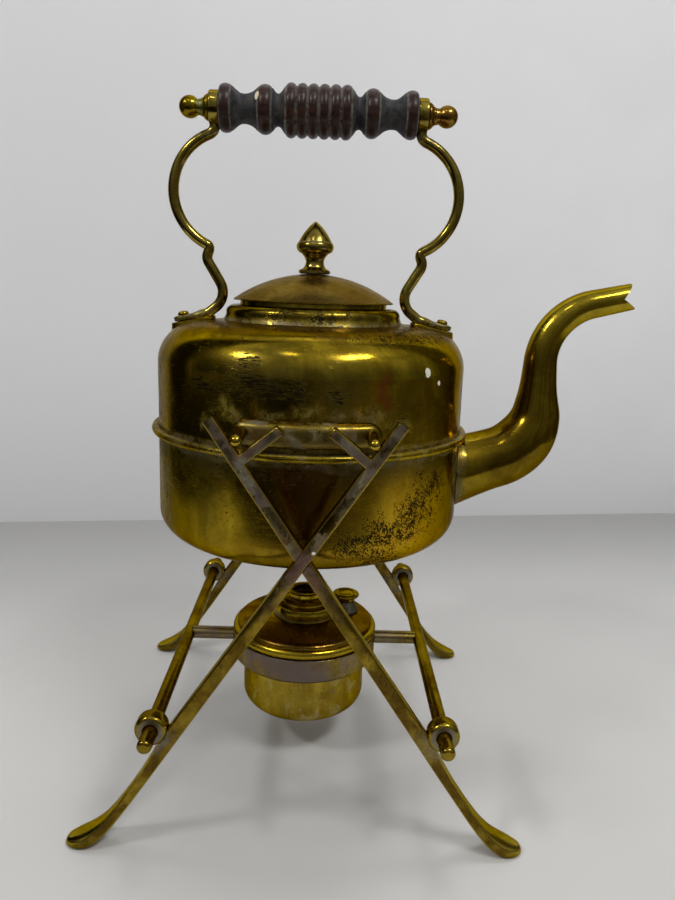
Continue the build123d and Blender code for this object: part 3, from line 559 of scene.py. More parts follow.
def brass(name, clean=OLIVE, worn=BRIGHT, stain=BROWN, dull=0.45, rough=0.16, size=1.0, pits=0.35, ash=0.0,
          grey=(), washes=(), hatched=(), pitted=(), chips=(), brushed=(300, 300, 2300), rim=EDGE_TINT):
    """Old brass: polished metal under blotches of tarnish, fine pits, scratches and grey residue.

    dull is the share that is tarnished. washes are (mask, colour, share, roughness) of tinted tarnish and of
    painted highlight, reflection and shade; grey, hatched, pitted and chips are masks."""
    s = Surface(name)
    streak = s.noise(1.0, 4, 0.6, 0.0, s.stretched(brushed, (2, 3, 0)))
    cross = s.noise(1.0, 2, 0.5, 0.0, s.stretched((2100, 300, 300), (0, 34, 20)))
    scratch = s.times(s.fade(streak, 0.50, 0.70), s.fade(cross, 0.35, 0.65))
    black = black_marks(s, pits, hatched, pitted)
    colour, roughness = tarnish_and_painted_light(s, clean, worn, stain, dull, rough, size, streak, washes)
    colour = s.mix(s.times(black, 0.94), colour, DARK)
    roughness = s.plus(roughness, s.times(scratch, 0.10))
    roughness = s.plus(roughness, s.times(black, 0.30))
    metallic = s.minus(1.0, s.times(black, 0.06))
    if ash or grey:
        left, left_colour = residue(s, ash, grey)
        colour = s.mix(s.times(left, 0.82), colour, left_colour)
        roughness = s.plus(roughness, s.times(left, 0.38), True)
        metallic = s.minus(metallic, s.times(left, 0.80), True)
    if chips:
        chipped = chipped_share(s, chips)
        colour = s.mix(chipped, colour, CHIPPED)
        roughness = s.plus(roughness, s.times(chipped, 0.4), True)
        metallic = s.minus(metallic, chipped, True)
    relief = s.bump(s.noise(70, 3, 0.5), 0.08, 1.2)
    relief = s.bump(s.minus(s.times(s.noise(1500, 3, 0.6), 0.25), black), 0.35, 0.08, relief)
    relief = s.bump(scratch, 0.10, 0.04, relief)
    s.dress({"Base Color": colour, "Roughness": roughness, "Metallic": metallic, "Specular Tint": rim,
             "Normal": relief})
    return s.material


# ---------------- brass of each part
fork_marks = [spot(p, r, (1, 1, q)) for p, r, q in (
    ((-30, -65.5, 180), 11, 1.7), ((-15, -70.5, 181.5), 9, 2.2), ((-1, -72, 183), 11, 2.0),
    ((12, -71, 181.5), 8, 2.2), ((24, -68, 182), 11, 1.8), ((36, -62.5, 177), 8, 1.4),
    ((-41, -59, 175), 7, 1.2), ((-30, 66, 181), 14, 1.5), ((5, 72, 184), 15, 1.6), ((31, 65, 180), 12, 1.4))]
hatching = [spot(p, r, (1, 1, 1.5)) for p, r in (
    ((-44, -56, 191), 14), ((-33, -64, 189), 13), ((-20, -69, 193), 16), ((-5, -72, 192), 12),
    ((14, -71, 190), 9), ((-24, -67, 201), 12), ((40, -60, 182), 9), ((25, 67, 190), 15),
    ((-30, 65, 196), 14))]
pitting = [spot(p, r, (1, 1, q)) for p, r, q in (
    ((46, -55, 138), 30, 1.3), ((35, -63, 132), 27, 1.4), ((22, -68.5, 130), 24, 1.3),
    ((52, -50, 148), 24, 1.0), ((30, -65, 121), 24, 1.2), ((-42, 58, 134), 28, 1.3),
    ((30, 65, 140), 25, 1.2))]


def under_belt(x):
    """A run of residue below the belt, this far across the front."""
    return spot((x, -math.sqrt(BODY_R ** 2 - x * x), BELT - 4), 8, (0.7, 1, 2.6))


def spout_joint(s):
    """Residue in the joint round the root of the spout."""
    from_middle = s.distance((BODY_R, 0, SPOUT_ROOT_Z), (0, 1, 0.95), False)
    return s.times(s.near(from_middle, 17.8 * MM, 3.4 * MM), s.fade(s.axis("X"), 0.02, 0.04))


def shoulder_pits(s):
    """More of them towards the spout's side."""
    return s.times(z_seam(BELT + 46.5, 7)(s), s.fade(s.axis("X"), -0.02, 0.05, 0.30, 0.85))


body_brass = brass(
    "body_brass", dull=0.42, rough=0.13, pits=0.30, brushed=(260, 260, 2600), pitted=pitting,
    grey=[z_seam(BELT - 2.8, 2.6), spout_joint, spot((BODY_R - 3, -22, BELT - 12), 14, (1, 1, 0.6)),
          spot((-67, -27, 140), 26, (1, 1, 0.7)), *map(under_belt, (-33, 10, 44))],
    # a darker band just below the belt, all round
    washes=[(z_seam(BELT - 6, 8), (0.055, 0.046, 0.026), 0.75, 0.10),
            (smears((120, 120, 15), 0.62, 0.5, 0.50, 0.62), (0.105, 0.074, 0.012), 0.45, 0.03),
            # painted shade and dark reflection of the crossed front legs: the front below the belt, between
            # the legs, is darkened
            (spot((0, -72, 158), 32, (1, 1, 1.6)), (0.050, 0.038, 0.018), 0.80, 0.08),
            (spot((-2, -72, 147), 27, (1, 1, 1.1)), (0.300, 0.100, 0.010), 0.80, 0.02),
            (spot((-52, -48, 142), 32, (1, 1, 0.8)), (0.22, 0.165, 0.018), 0.60, 0.05),
            (before(118, 150), (0.25, 0.152, 0.009), 0.70, 0.03),
            # painted reflection of the pale floor: a bright spot on the lower left rounding of the pan
            (spot((-34, -63, 119), 12, (1, 1, 1.4)), BRIGHT, 0.35, 0.0),
            (spot((40, -60, 134), 38), (0.58, 0.335, 0.014), 0.85, 0.05)])
top_brass = brass(
    "top_brass", rim=(0.60, 0.49, 0.31, 1.0), dull=0.36, rough=0.13, pits=0.28, brushed=(260, 260, 2600),
    grey=[z_seam(BELT + 2.4, 2.2), *fork_marks, spot((-68, -24, 182), 27, (1, 1, 0.55)),
          spot((70, -16, 185), 16, (1, 1, 0.5)), spot((-57, 0, BELT + 50), 12),
          spot((57, 0, BELT + 50), 12)],
    washes=[(past(BELT + 43.5, BELT + 49.5), TAN, 0.95, 0.16),
            (spot((-20, -69, 194), 30, (1, 1, 1.5)), (0.150, 0.120, 0.035), 0.75, 0.09),
            (spot((14, -70, 190), 20, (1, 1, 1.1)), (0.180, 0.150, 0.040), 0.60, 0.08),
            (spot((-66, -28, 186), 20, (1, 1, 0.6)), (0.070, 0.052, 0.010), 0.60, 0.04),
            (spot((30.7, -65.1, 193), 9.0, (2.0, 1, 0.75)), (0.36, 0.070, 0.020), 0.85, 0.05)],
    hatched=hatching, pitted=[shoulder_pits],
    chips=[spot((49.0, -52.8, 198.5), 3.4, (1, 1, 0.8), False),
           spot((54.4, -47.2, 193.6), 2.0, (1, 1, 1), False)])
belt_brass = brass("belt_brass", ash=0.30, rough=0.20, dull=0.4, pits=0.3,
                   grey=[z_seam(BELT + 1.9, 1.2), z_seam(BELT - 1.9, 1.0)])
collar_brass = brass(
    "collar_brass", clean=(0.20, 0.14, 0.012), worn=(0.40, 0.285, 0.03), stain=(0.085, 0.05, 0.008),
    dull=0.40, rough=0.13, pits=0.3, grey=[z_seam(CROWN - 3.2, 2.2)],
    pitted=[spot((-14, -39, 220.5), 10), spot((2, -41, 219.5), 11), spot((16, -38, 219), 8)])
lid_brass = brass(
    "lid_brass", clean=(0.20, 0.128, 0.03), worn=(0.27, 0.185, 0.045), stain=(0.125, 0.07, 0.018),
    dull=0.45, rough=0.25, pits=0.12, rim=(0.74, 0.64, 0.44, 1.0), grey=[z_seam(LID_CROWN + 0.1, 0.7)],
    washes=[(spot((14, -22, 234), 24), (0.10, 0.055, 0.014), 0.5, 0.05),
            # painted highlight: the lid's thin rim edge is washed bright and made a little smoother
            (before(NECK_TOP + 0.25, NECK_TOP + 0.55), BRIGHT, 0.7, -0.06)])
finial_brass = brass(
    "finial_brass", clean=(0.205, 0.155, 0.028), worn=(0.40, 0.31, 0.07), dull=0.36, rough=0.15, pits=0.15,
    size=1.6, grey=[z_seam(LID_CROWN + 0.3, 1.0), z_seam(LID_CROWN + 14.3, 0.5)])
spout_brass = brass(
    "spout_brass", clean=(0.165, 0.110, 0.008), worn=(0.31, 0.215, 0.013), dull=0.44, rough=0.13, pits=0.22,
    # painted highlight: the spout is washed pale gold from 196 mm up, fully past 222 mm
    grey=[before(70.5, 76.5, "X")], washes=[(past(196, 222), (0.50, 0.375, 0.03), 0.70, 0.0)])
lug_brass = brass(
    "lug_brass", clean=(0.20, 0.145, 0.016), worn=(0.36, 0.26, 0.04), ash=0.38, rough=0.22, dull=0.42,
    pits=0.34, size=1.5, washes=[(facing(0.80, 0.96), (0.19, 0.140, 0.045), 0.75, 0.14)])
pin_brass = brass("pin_brass", clean=(0.30, 0.205, 0.016), worn=(0.56, 0.40, 0.05), dull=0.3, rough=0.16,
                  pits=0.15, size=2)
arm_brass = brass("arm_brass", clean=(0.215, 0.160, 0.026), worn=(0.40, 0.31, 0.06), dull=0.30, rough=0.13,
                  pits=0.15, size=1.5, ash=0.04, grey=[z_seam(BELT + 51, 6), z_seam(297, 4)])
foot_brass = brass("foot_brass", ash=0.34, rough=0.22, dull=0.4, size=1.6)
eye_brass = brass("eye_brass", dull=0.3, rough=0.2, pits=0.2, size=1.6, ash=0.20)
knob_brass = brass("knob_brass", dull=0.35, rough=0.18, pits=0.2, size=2, ash=0.06,
                   washes=[(spot((-52, 0, GRIP), 4.5, (1.2, 0.5, 0.5)), (0.12, 0.20, 0.10), 0.85, 0.35)])
copper_brass = brass("copper_brass", clean=(0.22, 0.115, 0.022), worn=(0.36, 0.22, 0.045),
                     stain=(0.12, 0.06, 0.014), dull=0.5, rough=0.22, size=2)

flats = facing(0.88, 0.985)
high_flats = (flats, past(100, 138))
leg_brass = brass(
    "leg_brass", clean=(0.195, 0.125, 0.012), worn=(0.34, 0.24, 0.026), stain=(0.085, 0.045, 0.008),
    dull=0.46, rough=0.13, pits=0.26, size=1.5, ash=0.05, brushed=(900, 900, 260),
    grey=[spot((x * 0.985, y * 1.03, STRETCH_Z - 1), 15) for x in (-STRETCH_X, STRETCH_X)
          for y in (-FRAME_Y, FRAME_Y)] + [both(*high_flats, patches(85, 0.50, 0.58))],
    washes=[(both(*high_flats, patches(55, 0.34, 0.46)), (0.36, 0.31, 0.20), 0.75, 0.20),
            (both(*high_flats, patches(75, 0.46, 0.54)), VIOLET, 0.85, 0.22),
            (both(*high_flats, patches(120, 0.54, 0.62)), (0.17, 0.060, 0.060), 0.60, 0.14),
            (both(flats, spot((0, FRONT_FACE, 124), 15)), (0.20, 0.075, 0.075), 0.70, 0.12),
            (both(flats, before(100, 138), patches(110, 0.44, 0.60)), (0.090, 0.052, 0.010), 0.80, 0.03),
            # painted highlight, partly real wear: the rounded edges and narrow sides of the legs are washed
            # bright gold
            (lambda s: s.minus(1.0, facing(0.72, 0.93)(s)), (0.60, 0.45, 0.06), 0.75, -0.02)]
    + [(spot((x, y, STRETCH_Z - 2), 13), (0.42, 0.40, 0.35), 0.80, 0.22)
       for x in (-61, 61) for y in (-FRAME_Y - 2, FRAME_Y + 2)],
    chips=[spot((4.2, FRONT_FACE, 131.8), 1.6, (1, 1, 1.2), False)])
loop_brass = brass(
    "loop_brass", clean=(0.24, 0.165, 0.014), worn=(0.42, 0.31, 0.035), dull=0.42, rough=0.17, pits=0.2,
    size=1.5, ash=0.05, washes=[(facing(0.90, 0.99), (0.24, 0.225, 0.20), 0.85, 0.35)])
bar_brass = brass("bar_brass", clean=(0.20, 0.132, 0.014), worn=(0.34, 0.24, 0.030), dull=0.46, rough=0.18,
                  pits=0.2, size=1.3, ash=0.10, brushed=(900, 260, 900))
burner_brass = brass("burner_brass", dull=0.34, rough=0.15, pits=0.15, size=1.3,
                     grey=[z_seam(COVER_TOP + 0.6, 1.0)])
cover_brass = brass(
    "cover_brass", clean=(0.20, 0.105, 0.016), worn=(0.34, 0.22, 0.028), stain=(0.12, 0.058, 0.008),
    # painted highlight: the rolled bead at the foot of the cover, below 62.8 mm, is washed bright
    dull=0.45, rough=0.18, pits=0.12, washes=[(before(62.8, 64.0), (0.46, 0.33, 0.02), 0.85, 0.0)])
holder_brass = brass("holder_brass", clean=(0.24, 0.175, 0.03), worn=(0.36, 0.28, 0.05), dull=0.5,
                     rough=0.22, ash=0.16, pits=0.15,
                     washes=[(patches(30, 0.34, 0.56), VIOLET, 0.85, 0.14)])
cup_brass = brass(
    "cup_brass", clean=(0.35, 0.235, 0.016), worn=(0.52, 0.385, 0.05), stain=(0.27, 0.155, 0.012),
    dull=0.35, rough=0.24, pits=0.12, ash=0.10, grey=[spot((14.7, -27.3, 37), 4.6, (1, 1, 1), False)],
    washes=[(smears((120, 120, 50), 0.6, 0.8, 0.52, 0.60), (0.50, 0.44, 0.19), 0.6, 0.22)])
filler_brass = brass("filler_brass", clean=(0.20, 0.19, 0.15), worn=(0.30, 0.26, 0.12), dull=0.4, rough=0.26,
                     ash=0.30, size=2)

# ---------------- kettle body
shoulder = bent([(0, CROWN), (BODY_R, CROWN - 6.0), (BODY_R, BELT)], [18.5], 26, 3.0)
inside = [(0, CROWN - SHEET), (BODY_R - SHEET, CROWN - 6.0 - SHEET), (BODY_R - SHEET, BELT)]
inside = bent(inside, [17.3], 20, 3.0)
shoulder = [p for p in shoulder if p[0] > MOUTH_R]
inside = [p for p in inside if p[0] > MOUTH_R]
top = inside[::-1] + [(MOUTH_R, CROWN - 3.9), (MOUTH_R, CROWN - 2.72)] + shoulder + [inside[-1]]
piece("top_shell", turned(top, worn=hammered(0.35), segments=192), *ON_BODY, top_brass, "kettle_top")

PAN_INSIDE = PAN_BOTTOM + SHEET
pan_outer = bent([(0, PAN_BOTTOM), (BODY_R, PAN_BOTTOM), (BODY_R, BELT)], [12.0], 14, 4.0)
pan_inner = bent([(0, PAN_INSIDE), (BODY_R - SHEET, PAN_INSIDE), (BODY_R - SHEET, BELT)], [10.8], 12, 4.0)
pan = turned(pan_outer + pan_inner[::-1], worn=hammered(0.35), segments=192)

SPOUT_WIDTHS = (34.5, 32.1, 29.8, 29.2, 28.0, 23.4, 18.2, 15.9, 15.0, 14.4, 13.7, 13.0, 12.4)
PER_WIDTH, MOUTH_RINGS = 8, 6
SPOUT_END = PER_WIDTH * (len(SPOUT_WIDTHS) - 1)
spout_line = bent([(64.0, 143.10), (109.6, 157.92), (109.6, 222.4), (150.0, 231.73)], [26.0, 29.0], 24, 2.0)
spout_line = even(spout_line, SPOUT_END + 1)
spout_widths = [w for _, w in flow(enumerate(SPOUT_WIDTHS), PER_WIDTH)]


def spout_ring(i, inset, n=48):
    """The i-th ring of the spout, its surface drawn in by the inset."""
    p = spout_line[i]
    along = (spout_line[min(i + 1, SPOUT_END)] - spout_line[max(i - 1, 0)]).normalized()
    up = Vector((-along.y, along.x))
    radius = spout_widths[i] / 2 - inset
    share = max(0, i - SPOUT_END + MOUTH_RINGS) / MOUTH_RINGS
    ring = []
    for a in (2 * math.pi * j / n for j in range(n)):
        y, h = radius * math.cos(a), radius * math.sin(a)
        # the mouth is cut back in a vee, its point at mid height
        cut_back = min(0.0, -5.6 + abs(h) + 0.25 * inset) - 0.02
        q = p + up * h + along * cut_back * share
        ring.append(Vector((q.x, y, q.y)))
    if i == 0:
        # the root follows the wall of the body
        drift = Vector((along.x, 0, along.y))
        wall_r = BODY_R - 0.1 if inset > 0 else BODY_R + 0.1
        ring = [v + drift * ((math.sqrt(wall_r ** 2 - v.y ** 2) - v.x) / drift.x) for v in ring]
    return ring


first = next(i for i, p in enumerate(spout_line) if p.x > BODY_R + 4)
used = [0, *range(first, SPOUT_END + 1)]
outer, inner = ([spout_ring(i, inset) for i in used] for inset in (0, SPOUT_WALL))
lip = [a * 0.5 + b * 0.5 for a, b in zip(outer[-1], inner[-1])]
piece("swan_neck", lofted(outer + [lip] + inner[::-1] + [outer[0]], ends=False), *ON_BODY,
      spout_brass, "spout", sharp=50)
bore = [[v + Vector(shift) for v in spout_ring(0, SPOUT_WALL)] for shift in ((-22, 0, -7), (6, 0, 2))]
piece("pan_shell", less(pan, lofted(bore)), *ON_BODY, body_brass, "kettle_pan")

bead = arc((BODY_R + 0.6, BELT - 1.8), (BODY_R + 3, BELT), (BODY_R + 0.6, BELT + 1.8), 10)
bead = [(BODY_R + 0.05, BELT - 1.75), *bead, (BODY_R + 0.05, BELT + 1.75), (BODY_R + 0.05, BELT - 1.75)]
piece("belt_bead", turned(bead, segments=192), *ON_BODY, belt_brass, "body_belt")

# ---------------- lug bars and hanger pins
LUG_Z, LUG_CORE, LUG_END, LUG_STEPS = BELT + 9.3, 24.75, 5.25, 40
lug_outline = [(LUG_CORE + LUG_END * math.cos(a), LUG_END * math.sin(a))
               for a in (math.radians(-90 + 180 * i / 24) for i in range(25))]
lug_outline += [(LUG_CORE - 2 * LUG_CORE * k / LUG_STEPS, LUG_END) for k in range(1, LUG_STEPS)]
lug_outline += [(-x, -z) for x, z in lug_outline]


def lug_ring(side, inset, out):
    """The bar's outline drawn in by the inset, bent round the body this far out from it."""
    ring, r = [], BODY_R + out
    for x, z in lug_outline:
        core = max(-LUG_CORE, min(LUG_CORE, x))
        keep = 1 - inset / LUG_END
        a = (core + (x - core) * keep) / BODY_R
        ring.append((r * math.sin(a), side * r * math.cos(a), LUG_Z + z * keep))
    return ring


for side, name in ((-1, "front_lug"), (1, "rear_lug")):
    rings = [lug_ring(side, inset, out) for inset, out in (
        (0, 0.05), (0, 1.3), (0.24, 2.52), (0.94, 3.56), (1.98, 4.26), (3.2, 4.48), (LUG_END, 4.5))]
    piece(name, lofted(rings, ends=False), *ON_BODY, lug_brass, name + "_bar", sharp=60)

for x, node in ((PIN_X, "tilt_pins"), (-PIN_X, "rest_pins")):
    start = math.sqrt(BODY_R ** 2 - x * x) + 0.05
    pins = []
    for side in (-1, 1):
        shape = [(0, side * start), (PIN_R, side * start)]
        for i in range(9):
            a = math.pi / 2 * i / 8
            radius = PIN_R * math.cos(a) if i < 8 else 0
            shape.append((radius, side * (PIN_END - PIN_R + PIN_R * math.sin(a))))
        pins.append(turned(shape, "Y", (x, 0, PIN_Z), 40))
    piece(node + "_round", joined(*pins), *ON_BODY, pin_brass, node)

# ---------------- collar and lid
collar = [(MOUTH_R, CROWN - 3.0), (42.2, CROWN - 3.95)]
collar += arc((42.0, CROWN - 3.5), (41.5, CROWN - 2.5), (40.8, CROWN - 0.7), 6)
collar += arc((40.8, COLLAR_TOP - 3.6), (39.746, COLLAR_TOP - 1.054), (37.2, COLLAR_TOP), 10)
collar += [(34.2, COLLAR_TOP), (34.2, NECK_TOP), (MOUTH_R, NECK_TOP), (MOUTH_R, CROWN - 3.0)]
piece("mouth_collar", turned(soften(collar, 0.35), segments=160), *ON_BODY, collar_brass, "lid_collar")

lid = arc((0, LID_CROWN), (20.6, NECK_TOP + 9.2), (37.4, NECK_TOP + 0.5), 26) + [(37.4, NECK_TOP + 0.02)]
lid += arc((MOUTH_R, NECK_TOP), (19.8, NECK_TOP + 8.0), (0, LID_CROWN - 1.2), 16)
piece("lid_dome", turned(lid, worn=hammered(0.15, 16), segments=160), *ON_LID, lid_brass, "lid_cover")
skirt = [(32.3, NECK_TOP), (32.3, NECK_TOP - 9), (31.1, NECK_TOP - 9), (31.1, NECK_TOP), (32.3, NECK_TOP)]
piece("lid_sleeve", turned(skirt), *ON_LID, finial_brass, "lid_skirt")
finial = [(0, -2.0), (2.0, -2.0), (2.0, 0.02), (6.6, -0.1), (7.2, 0.3), (7.4, 0.85), (7.3, 1.4)]
finial += flow([(6.9, 1.7), (5.1, 2.7), (4.2, 5.0), (4.7, 7.2), (6.2, 9.1)], 6)
finial += arc((6.3, 9.15), (8.6, 12.4), (7.95, 14.0), 10) + [(7.55, 14.2), (7.5, 14.4)]
finial += arc((7.4, 14.6), (4.6, 19.2), (0.5, 23.35), 14) + [(0, 23.4)]
piece("finial", turned([(r, LID_CROWN + h) for r, h in finial], segments=96), *ON_LID, finial_brass,
      "lid_finial", sharp=34)

# ---------------- grip
CUT_LINES = ((4.95, 1.15), (9.9, 1.15), (0.0, 1.15), (14.6, 0.9), (21.0, 0.6), (26.9, 0.6), (38.9, 0.6),
             (43.8, 0.6))


def turned_wood(name):
    """Dark turned wood, brown on the ribs and beads, grey with old polish and dirt in the hollows."""
    s = Surface(name)
    radius = s.distance((0, 0, GRIP), (0, 1, 1), False)
    high = s.fade(s.plus(radius, s.times(s.noise(300, 6, 0.6), 0.0012)), 0.0093, 0.0108)
    figure = s.noise(1.0, 6, 0.6, 0.5, s.stretched((60, 700, 700)))
    brown = s.mix(s.fade(figure, 0.35, 0.65), (0.012, 0.005, 0.0035), (0.040, 0.014, 0.008))
    dirty = s.fade(s.noise(160, 8, 0.7, 0.4), 0.35, 0.7)
    colour = s.mix(high, s.mix(dirty, (0.0075, 0.007, 0.010), (0.060, 0.056, 0.052)), brown)
    # pale dirt in the cut lines
    away = s.math("ABSOLUTE", s.axis("X"))
    lines = None
    for place, reach in CUT_LINES:
        line = s.near(away, place * MM, reach * MM)
        lines = line if lines is None else s.most(lines, line)
    dirt = s.times(lines, s.fade(s.noise(520, 6, 0.7), 0.34, 0.60))
    dust = s.fade(s.noise(900, 6, 0.75, 0.3), 0.60, 0.72)
    pale = s.most(dirt, s.times(dust, 0.35))
    colour = s.mix(s.times(pale, 0.85), colour, (0.19, 0.175, 0.15))
    chip = spot((-27.2, -8.2, GRIP + 4.5), 3.0, (1.7, 1, 0.75), False)(s)
    relief = s.bump(s.noise(1400, 4, 0.6), 0.30, 0.10, s.bump(figure, 0.25, 0.12))
    s.dress({"Base Color": s.mix(s.fade(chip, 0.34, 0.42), colour, (0.72, 0.62, 0.42)),
             "Roughness": s.plus(s.fade(high, 0, 1, 0.60, 0.34), s.times(pale, 0.25)),
             "Specular IOR Level": 0.28, "Normal": relief})
    return s.material


RIB, RIB_CUT = 4.95, 10.05
half = [(0, RIB_CUT)]
for rib in range(3):
    at = rib * RIB
    half += arc((at + 0.28, 10.35), (at + 2.47, 11.5), (at + 4.67, 10.35), 8) + [(at + RIB, RIB_CUT)]
half.pop()
half += flow([(14.75, 10.1), (15.6, 9.2), (16.8, 7.5), (18.0, 6.8), (19.2, 7.3), (20.4, 8.8)], 4)
half += [(20.9, 8.95), (21.1, 9.3)] + arc((21.2, 9.45), (23.9, 10.5), (26.7, 9.4), 8)
half += [(26.9, 9.1), (27.1, 9.05)]
half += flow([(27.4, 8.9), (29.2, 7.4), (31.4, 6.5), (33.2, 6.3), (35.0, 6.6), (37.0, 8.0), (38.6, 9.3)], 4)
half += [(38.9, 9.25), (39.1, 9.6)] + arc((39.3, 9.7), (41.5, 10.3), (43.6, 9.6), 8)
half += [(44.0, 9.0), (44.0, GRIP_BORE)]
outline = [(r, -h) for h, r in half[::-1]] + [(r, h) for h, r in half[1:]]


def hand_turned(r, h, a):
    if r <= 3:
        return r
    return r - 0.10 * (0.5 + 0.5 * noise.noise(Vector((h / 6, math.cos(a) * 2, math.sin(a) * 2))))


grip = turned([*outline, outline[0]], "X", (0, 0, GRIP), 96, hand_turned)
piece("grip_turned", grip, "kettle", "turned_wood", turned_wood("grip_wood"), "grip", sharp=30)

# ---------------- handle arms, their feet and the grip's fittings
foot_dir = Vector((math.cos(FOOT_SLOPE), -math.sin(FOOT_SLOPE)))
foot_up = Vector((math.sin(FOOT_SLOPE), math.cos(FOOT_SLOPE)))
foot_mid = FOOT - foot_up * 1.4
PAD_START, PAD_LENGTH, PAD_STEPS, ARM = -5.2, 14.2, 22, 4.8


def eased(before_corner, after_corner, reach):
    """Join two lines whose ends meet, rounding the corner over the reach."""
    corner = Vector(after_corner[0])
    a, b = ([Vector(p) for p in line if (Vector(p) - corner).length > reach]
            for line in (before_corner, after_corner))
    turn = [rounded(a[-1], corner, b[0], t) for t in (0.2, 0.4, 0.6, 0.8)]
    return [tuple(p) for p in a + turn + b]


def pad_section(at):
    """The rod's section where it flattens into the pad, this far along from the rivet's side."""
    t = min(1.0, (at - PAD_START) / 6.0)
    t = t * t * (3 - 2 * t)
    tip = max(0.0, (at - 4.8) / 4.21)
    width = (ARM + (8.4 - ARM) * t) * (math.sqrt(max(0.0, 1 - tip * tip)) or 0.05)
    height = (ARM + (2.8 - ARM) * t) * (1 - 0.35 * tip ** 3)
    return round_section(max(width, 0.3), height, 2.0 + 1.6 * t)


neck_line = [(EYE_X, 303.8 - 6.5 * i / 12) for i in range(13)]
bow_line = arc((EYE_X, 297.3), (65.2, 272.3), (48.4, 247.8), 60)
foot_start = tuple(foot_mid + foot_dir * PAD_START)
lower_line = bent([(48.4, 247.8), (50.4, 242.4), (39.9, 225.0), (49.94, 217.07), foot_start],
                  [4.5, 8.8, 5.5], 10, 1.0)
arm_line = eased(eased(neck_line, bow_line, 2.2), lower_line, 1.6)
pad_places = [PAD_START + PAD_LENGTH * i / PAD_STEPS for i in range(1, PAD_STEPS + 1)]
sections = [round_section(4.1, 4.1) if i < 6 else round_section(ARM, ARM) for i in range(len(arm_line))]
sections += [pad_section(at) for at in pad_places]
arm = rod(arm_line + [tuple(foot_mid + foot_dir * at) for at in pad_places], sections)
eye = [(GRIP_BORE, 0), (GRIP_BORE, -2.4), (7.4, -2.4), (7.4, 2.4), (GRIP_BORE, 2.4), (GRIP_BORE, 0)]
arm = joined(arm, turned(soften(eye, 0.9, 5), "X", (EYE_X, 0, GRIP), 64))


def shoulder_height(r):
    """Height of the shoulder this far from the kettle's axis."""
    for (r0, z0), (r1, z1) in zip(shoulder, shoulder[1:]):
        if r0 <= r <= r1 and r1 > r0:
            return z0 + (z1 - z0) * (r - r0) / (r1 - r0)


plate_rings = []
for inset, drop, clear in ((5.2, 2.8, None), (0.5, 2.8, None), (0.12, 3.0, 0.06), (0.0, 3.4, 0.06),
                           (0.0, 0.0, 0.05)):
    ring = []
    for a in (2 * math.pi * i / 48 for i in range(48)):
        core = 4.75 if math.cos(a) >= 0 else -4.75
        u, v = core + (5.75 - inset) * math.cos(a), (5.75 - inset) * math.sin(a)
        q = FOOT + foot_dir * u - foot_up * (drop or 2.8)
        z = q.y
        if clear is not None:
            rest = shoulder_height(math.hypot(q.x, v)) + clear
            z = max(z, rest) if drop else rest
        ring.append((q.x, v, z))
    plate_rings.append(ring)
plate = lofted(plate_rings[::-1])

for kind, part, dress, node, sharp in (("arm", arm, arm_brass, "handle_arm", 45),
                                       ("plate", plate, foot_brass, "foot_plate", 38)):
    piece(f"right_{kind}", part, *ON_HANDLE, dress, f"right_{node}", sharp=sharp)
    piece(f"left_{kind}", moved(part, MIRROR), *ON_HANDLE, dress, f"left_{node}", sharp=sharp)

rivet = [(0, -8.0), (1.5, -8.0), (1.5, 0.0), (2.5, 0.02), (2.6, 0.5), (2.3, 1.2), (1.5, 1.65), (0, 1.8)]
rivet_at = FOOT + foot_dir * 4.2
to_foot = Matrix.Translation((rivet_at.x, 0, rivet_at.y)) @ Matrix.Rotation(FOOT_SLOPE, 4, "Y")
rivet = moved(turned(rivet, segments=32), to_foot)
piece("foot_rivets", joined(rivet, moved(rivet, MIRROR)), *ON_HANDLE, eye_brass, "handle_rivets")

grip_rod = turned(domed(2.4, -57.5, 57.5, 0.4), "X", (0, 0, GRIP), 32)
piece("grip_core", grip_rod, "kettle", "inner_rod", pin_brass, "grip_rod")
washer = [(GRIP_BORE, 48.92), (5.3, 48.92), (5.7, 49.3), (5.6, 49.9), (5.0, 50.7), (4.6, 51.1),
          (GRIP_BORE, 51.1), (GRIP_BORE, 48.92)]
BALL_R, BALL_X = 4.8, 57.5
knob = [(GRIP_BORE, 51.15), (4.0, 51.15), (4.1, 51.6), (3.6, 52.3), (3.45, 53.0)]
knob += [(BALL_R * math.sin(a), BALL_X - BALL_R * math.cos(a))
         for a in map(math.radians, range(44, 180, 8))]
knob += [(0, BALL_X + BALL_R), (0, 57.6), (GRIP_BORE, 57.55), (GRIP_BORE, 51.15)]
for side, dress in (("right", copper_brass), ("left", knob_brass)):
    for kind, shape in (("washer", washer), ("knob", knob)):
        part = turned(soften(shape, 0.3, 2), "X", (0, 0, GRIP), 48)
        part = moved(part, MIRROR) if side == "left" else part
        piece(f"{side}_{kind}_turned", part, "kettle", "knob_brass", dress, f"{side}_{kind}")

# ---------------- stand
LEG_TOP_Z, KNEE_Z, PRONG_Z = 182.3, 52.0, 166.0
TIP_X, CLUB_X, SOLE_X, TOE = 93.5, 87.5, 87.0, 3.6


def on_leg(z):
    """The place on the leg's middle line at this height."""
    return CROSSING + LEG_DOWN * ((CROSSING.y - z) / math.cos(LEAN))


leg_top, knee = on_leg(LEG_TOP_Z), on_leg(KNEE_Z)
upper = [leg_top + LEG_SIDE * 2.3, knee + LEG_SIDE * 3.0, Vector((66.4, 31.2)), Vector((81.0, 11.4)),
         Vector((TIP_X, TOE))]
lower = [leg_top - LEG_SIDE * 2.3, knee - LEG_SIDE * 3.0, Vector((62.4, 29.0)), Vector((77.2, 8.0)),
         Vector((SOLE_X, 0.0))]


def foot_curve(points, end_dir, count):
    """From the knee into the foot: tangent to the leg at the start, to end_dir at the end."""
    start, *_, tip = points
    line = flow([start - LEG_DOWN * 12, *points, tip + Vector(end_dir) * 8], 10)
    return even(line[10:41], count)


